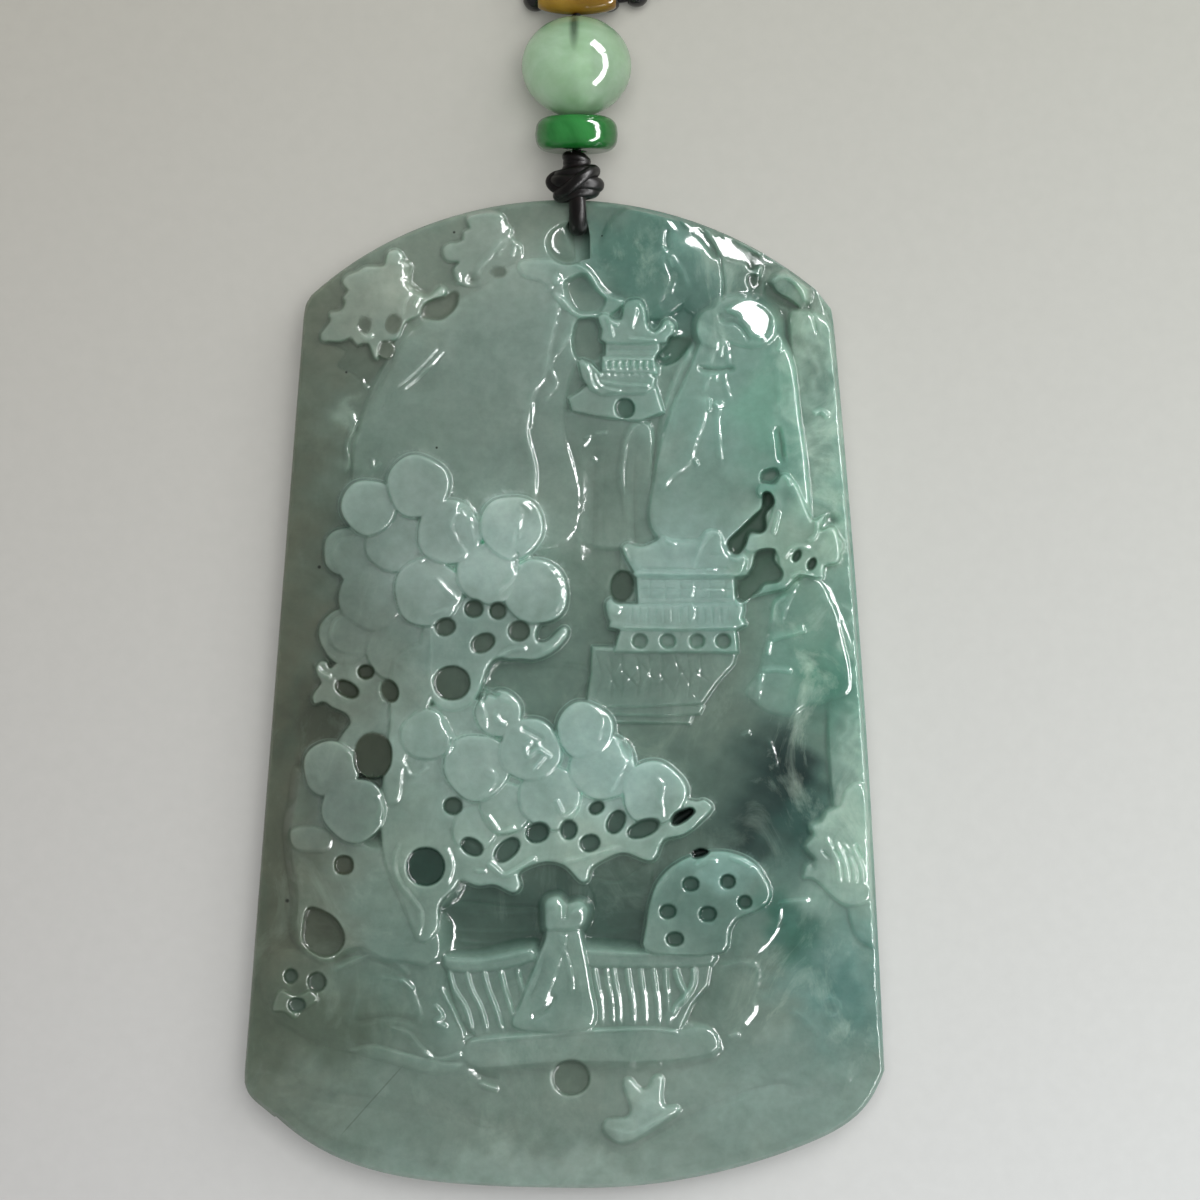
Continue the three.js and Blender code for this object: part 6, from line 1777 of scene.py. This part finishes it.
scratch = m.noise(2600, 3, 0.6, 0.2, at=m.place((0.25, 1.4, 1), (0, 0, 0.9)))
m.bump(m.math("ADD", m.math("MULTIPLY", scratch, 0.5), m.noise(520, 4)), 0.10, 0.00012)
jadeite = m.mat
plaque.data.materials.clear()
plaque.data.materials.append(jadeite)


def dress(ob, mat):
    ob.data.materials.clear()
    ob.data.materials.append(mat)


m = Nodes("pale_jade")
cloud = m.noise(160, 5, 0.6, 0.8)
col = m.ramp(cloud, [(0.25, lin(0.60, 0.73, 0.58)), (0.5, lin(0.69, 0.81, 0.69)), (0.75, lin(0.78, 0.88, 0.79))])
# painted shade: a dark streak at the top stands in for the string seen through the stone
nd = m.add("ShaderNodeVectorMath", operation="DISTANCE")
squeeze = m.place((1, 0.22, 0))
m.link(squeeze, nd.inputs[0])
at = place(np.float64(574), np.float64(24), 6.9) * MM
nd.inputs[1].default_value = (float(at[0]), float(at[1]) * 0.22, 0.0)
col = m.mix(m.band(nd.outputs["Value"], 0.00012, 0.00042, 0.75, 0.0), col, lin(0.22, 0.30, 0.22))
m.set(Base_Color=col, IOR=1.66, Subsurface_Weight=0.7, Subsurface_Scale=0.003, Transmission_Weight=0.42)
m.bsdf.inputs["Subsurface Radius"].default_value = (0.8, 1.0, 0.8)
m.set(Roughness=m.band(m.noise(700, 3), 0.3, 0.7, 0.06, 0.12))
m.bump(m.noise(500, 4), 0.05, 0.00008)
dress(round_bead, m.mat)

m = Nodes("green_jade")
cloud = m.noise(240, 5, 0.6, 0.7)
col = m.ramp(cloud, [(0.28, lin(0.06, 0.30, 0.09)), (0.5, lin(0.11, 0.42, 0.17)), (0.74, lin(0.19, 0.52, 0.25))])
m.set(Base_Color=col, IOR=1.66, Subsurface_Weight=0.45, Subsurface_Scale=0.0012)
m.bsdf.inputs["Subsurface Radius"].default_value = (0.3, 1.0, 0.35)
m.set(Roughness=m.band(m.noise(800, 3), 0.3, 0.7, 0.09, 0.16))
m.bump(m.noise(600, 4), 0.05, 0.00008)
dress(disc_bead, m.mat)

m = Nodes("amber")
cloud = m.noise(220, 5, 0.6, 0.7, at=m.place((0.5, 1.2, 1.2)))
col = m.ramp(cloud, [(0.28, lin(0.34, 0.24, 0.06)), (0.5, lin(0.48, 0.36, 0.10)), (0.75, lin(0.62, 0.50, 0.18))])
m.set(Base_Color=col, IOR=1.55, Subsurface_Weight=0.35, Subsurface_Scale=0.0012)
m.bsdf.inputs["Subsurface Radius"].default_value = (1.0, 0.6, 0.2)
m.set(Roughness=m.band(m.noise(900, 3), 0.3, 0.7, 0.10, 0.18))
m.bump(m.noise(600, 4), 0.05, 0.00008)
dress(barrel_bead, m.mat)

m = Nodes("black_stone")
col = m.ramp(m.noise(500, 4), [(0.3, grey(0.006)), (0.7, (0.018, 0.016, 0.016))])
m.set(Base_Color=col, IOR=1.55, Roughness=m.band(m.noise(900, 3), 0.3, 0.7, 0.10, 0.20))
m.bump(m.noise(900, 4), 0.06, 0.00006)
for ob in black_beads:
    dress(ob, m.mat)

m = Nodes("waxed_string")
col = m.ramp(m.noise(1400, 5, 0.6), [(0.3, lin(0.012, 0.008, 0.008)), (0.55, lin(0.035, 0.02, 0.019)), (0.78, lin(0.085, 0.05, 0.045))])
fibre = m.noise(3200, 4, 0.65, 0.4, at=m.place((1, 1, 0.5), (0.4, 0.3, 0.6)))
m.set(Base_Color=col, IOR=1.5, Roughness=m.band(m.noise(1100, 3), 0.3, 0.7, 0.28, 0.46), Specular_IOR_Level=0.32)
m.bump(fibre, 0.35, 0.00008)
for ob in (drop_cord, neck_cord, coil_tie):
    dress(ob, m.mat)

# ------------------------------------------------------------------ floor
me_floor = bpy.data.meshes.new("floor")
me_floor.from_pydata([(-1.5, -1.5, 0), (1.5, -1.5, 0), (1.5, 1.5, 0), (-1.5, 1.5, 0)], [], [(0, 1, 2, 3)])
floor = bpy.data.objects.new("floor", me_floor)
scene.collection.objects.link(floor)
m = Nodes("pale_floor")
sep = m.add("ShaderNodeSeparateXYZ")
m.link(m.pos, sep.inputs[0])
# painted light: the floor is darker at the top left and lighter towards the lower right, like light falling off across
# it
across = m.band(sep.outputs["X"], -0.040, 0.045)
down = m.band(sep.outputs["Y"], 0.048, -0.036)
slant = m.math("ADD", m.math("MULTIPLY", across, 0.5), m.math("MULTIPLY", down, 0.5))
floor_top_shaded = m.mix(across, lin(0.600, 0.592, 0.565), lin(0.655, 0.656, 0.630))
floor_low_lit = m.mix(across, lin(0.665, 0.662, 0.658), lin(0.755, 0.762, 0.760))
col = m.mix(down, floor_top_shaded, floor_low_lit)
grain = m.noise(900, 3, 0.6)
col = m.mix(1.0, col, m.ramp(grain, [(0.3, grey(0.985)), (0.7, grey(1.015))]), "MULTIPLY")
# painted light: the floor glows a little through its emission, which thins the shadows on it
m.set(Base_Color=col, Roughness=0.9, Specular_IOR_Level=0.0, Emission_Color=col, Emission_Strength=0.20)
dress(floor, m.mat)

# ------------------------------------------------------------------ light
scene.view_settings.view_transform = "Standard"
scene.view_settings.look = "None"
world = bpy.data.worlds.new("studio")
world.use_nodes = True
bg = world.node_tree.nodes["Background"]
bg.inputs[0].default_value = (0.93, 0.96, 0.95, 1)
bg.inputs[1].default_value = 0.26
scene.world = world


def panel(name, azimuth, elevation, distance, w, h, power, colour=(1, 1, 1), gloss_only=False):
    a, e = math.radians(azimuth), math.radians(elevation)
    ld = bpy.data.lights.new(name, "AREA")
    ld.shape = "RECTANGLE"
    ld.size, ld.size_y = w, h
    ld.energy = power
    ld.color = colour
    ob = bpy.data.objects.new(name, ld)
    d = np.array([math.cos(e) * math.cos(a), math.cos(e) * math.sin(a), math.sin(e)])
    ob.location = d * distance
    x = np.array([-math.sin(a), math.cos(a), 0.0])
    z = d
    y = np.cross(z, x)
    from mathutils import Matrix
    ob.matrix_world = Matrix([[x[0], y[0], z[0], d[0] * distance], [x[1], y[1], z[1], d[1] * distance], [x[2], y[2], z[2], d[2] * distance], [0, 0, 0, 1]])
    scene.collection.objects.link(ob)
    if gloss_only:
        ob.visible_diffuse = False
        ob.visible_transmission = False
    return ob


over = panel("soft_over", 60, 80, 0.8, 0.5, 0.5, 5.6, (1.0, 0.995, 0.985))
over.visible_glossy = False
side = panel("soft_side", 40, 42, 0.8, 0.6, 0.5, 1.8, (1.0, 0.99, 0.97))
side.visible_glossy = False
# a window with bars between its three panes, seen only as reflections
panel("window_a", -31, 27, 0.6, 0.41, 0.12, 4.1, gloss_only=True)
panel("window_b", 10, 27, 0.6, 0.34, 0.12, 3.5, gloss_only=True)
panel("window_c", 46, 27, 0.6, 0.29, 0.17, 4.2, gloss_only=True)

bpy.context.view_layer.update()
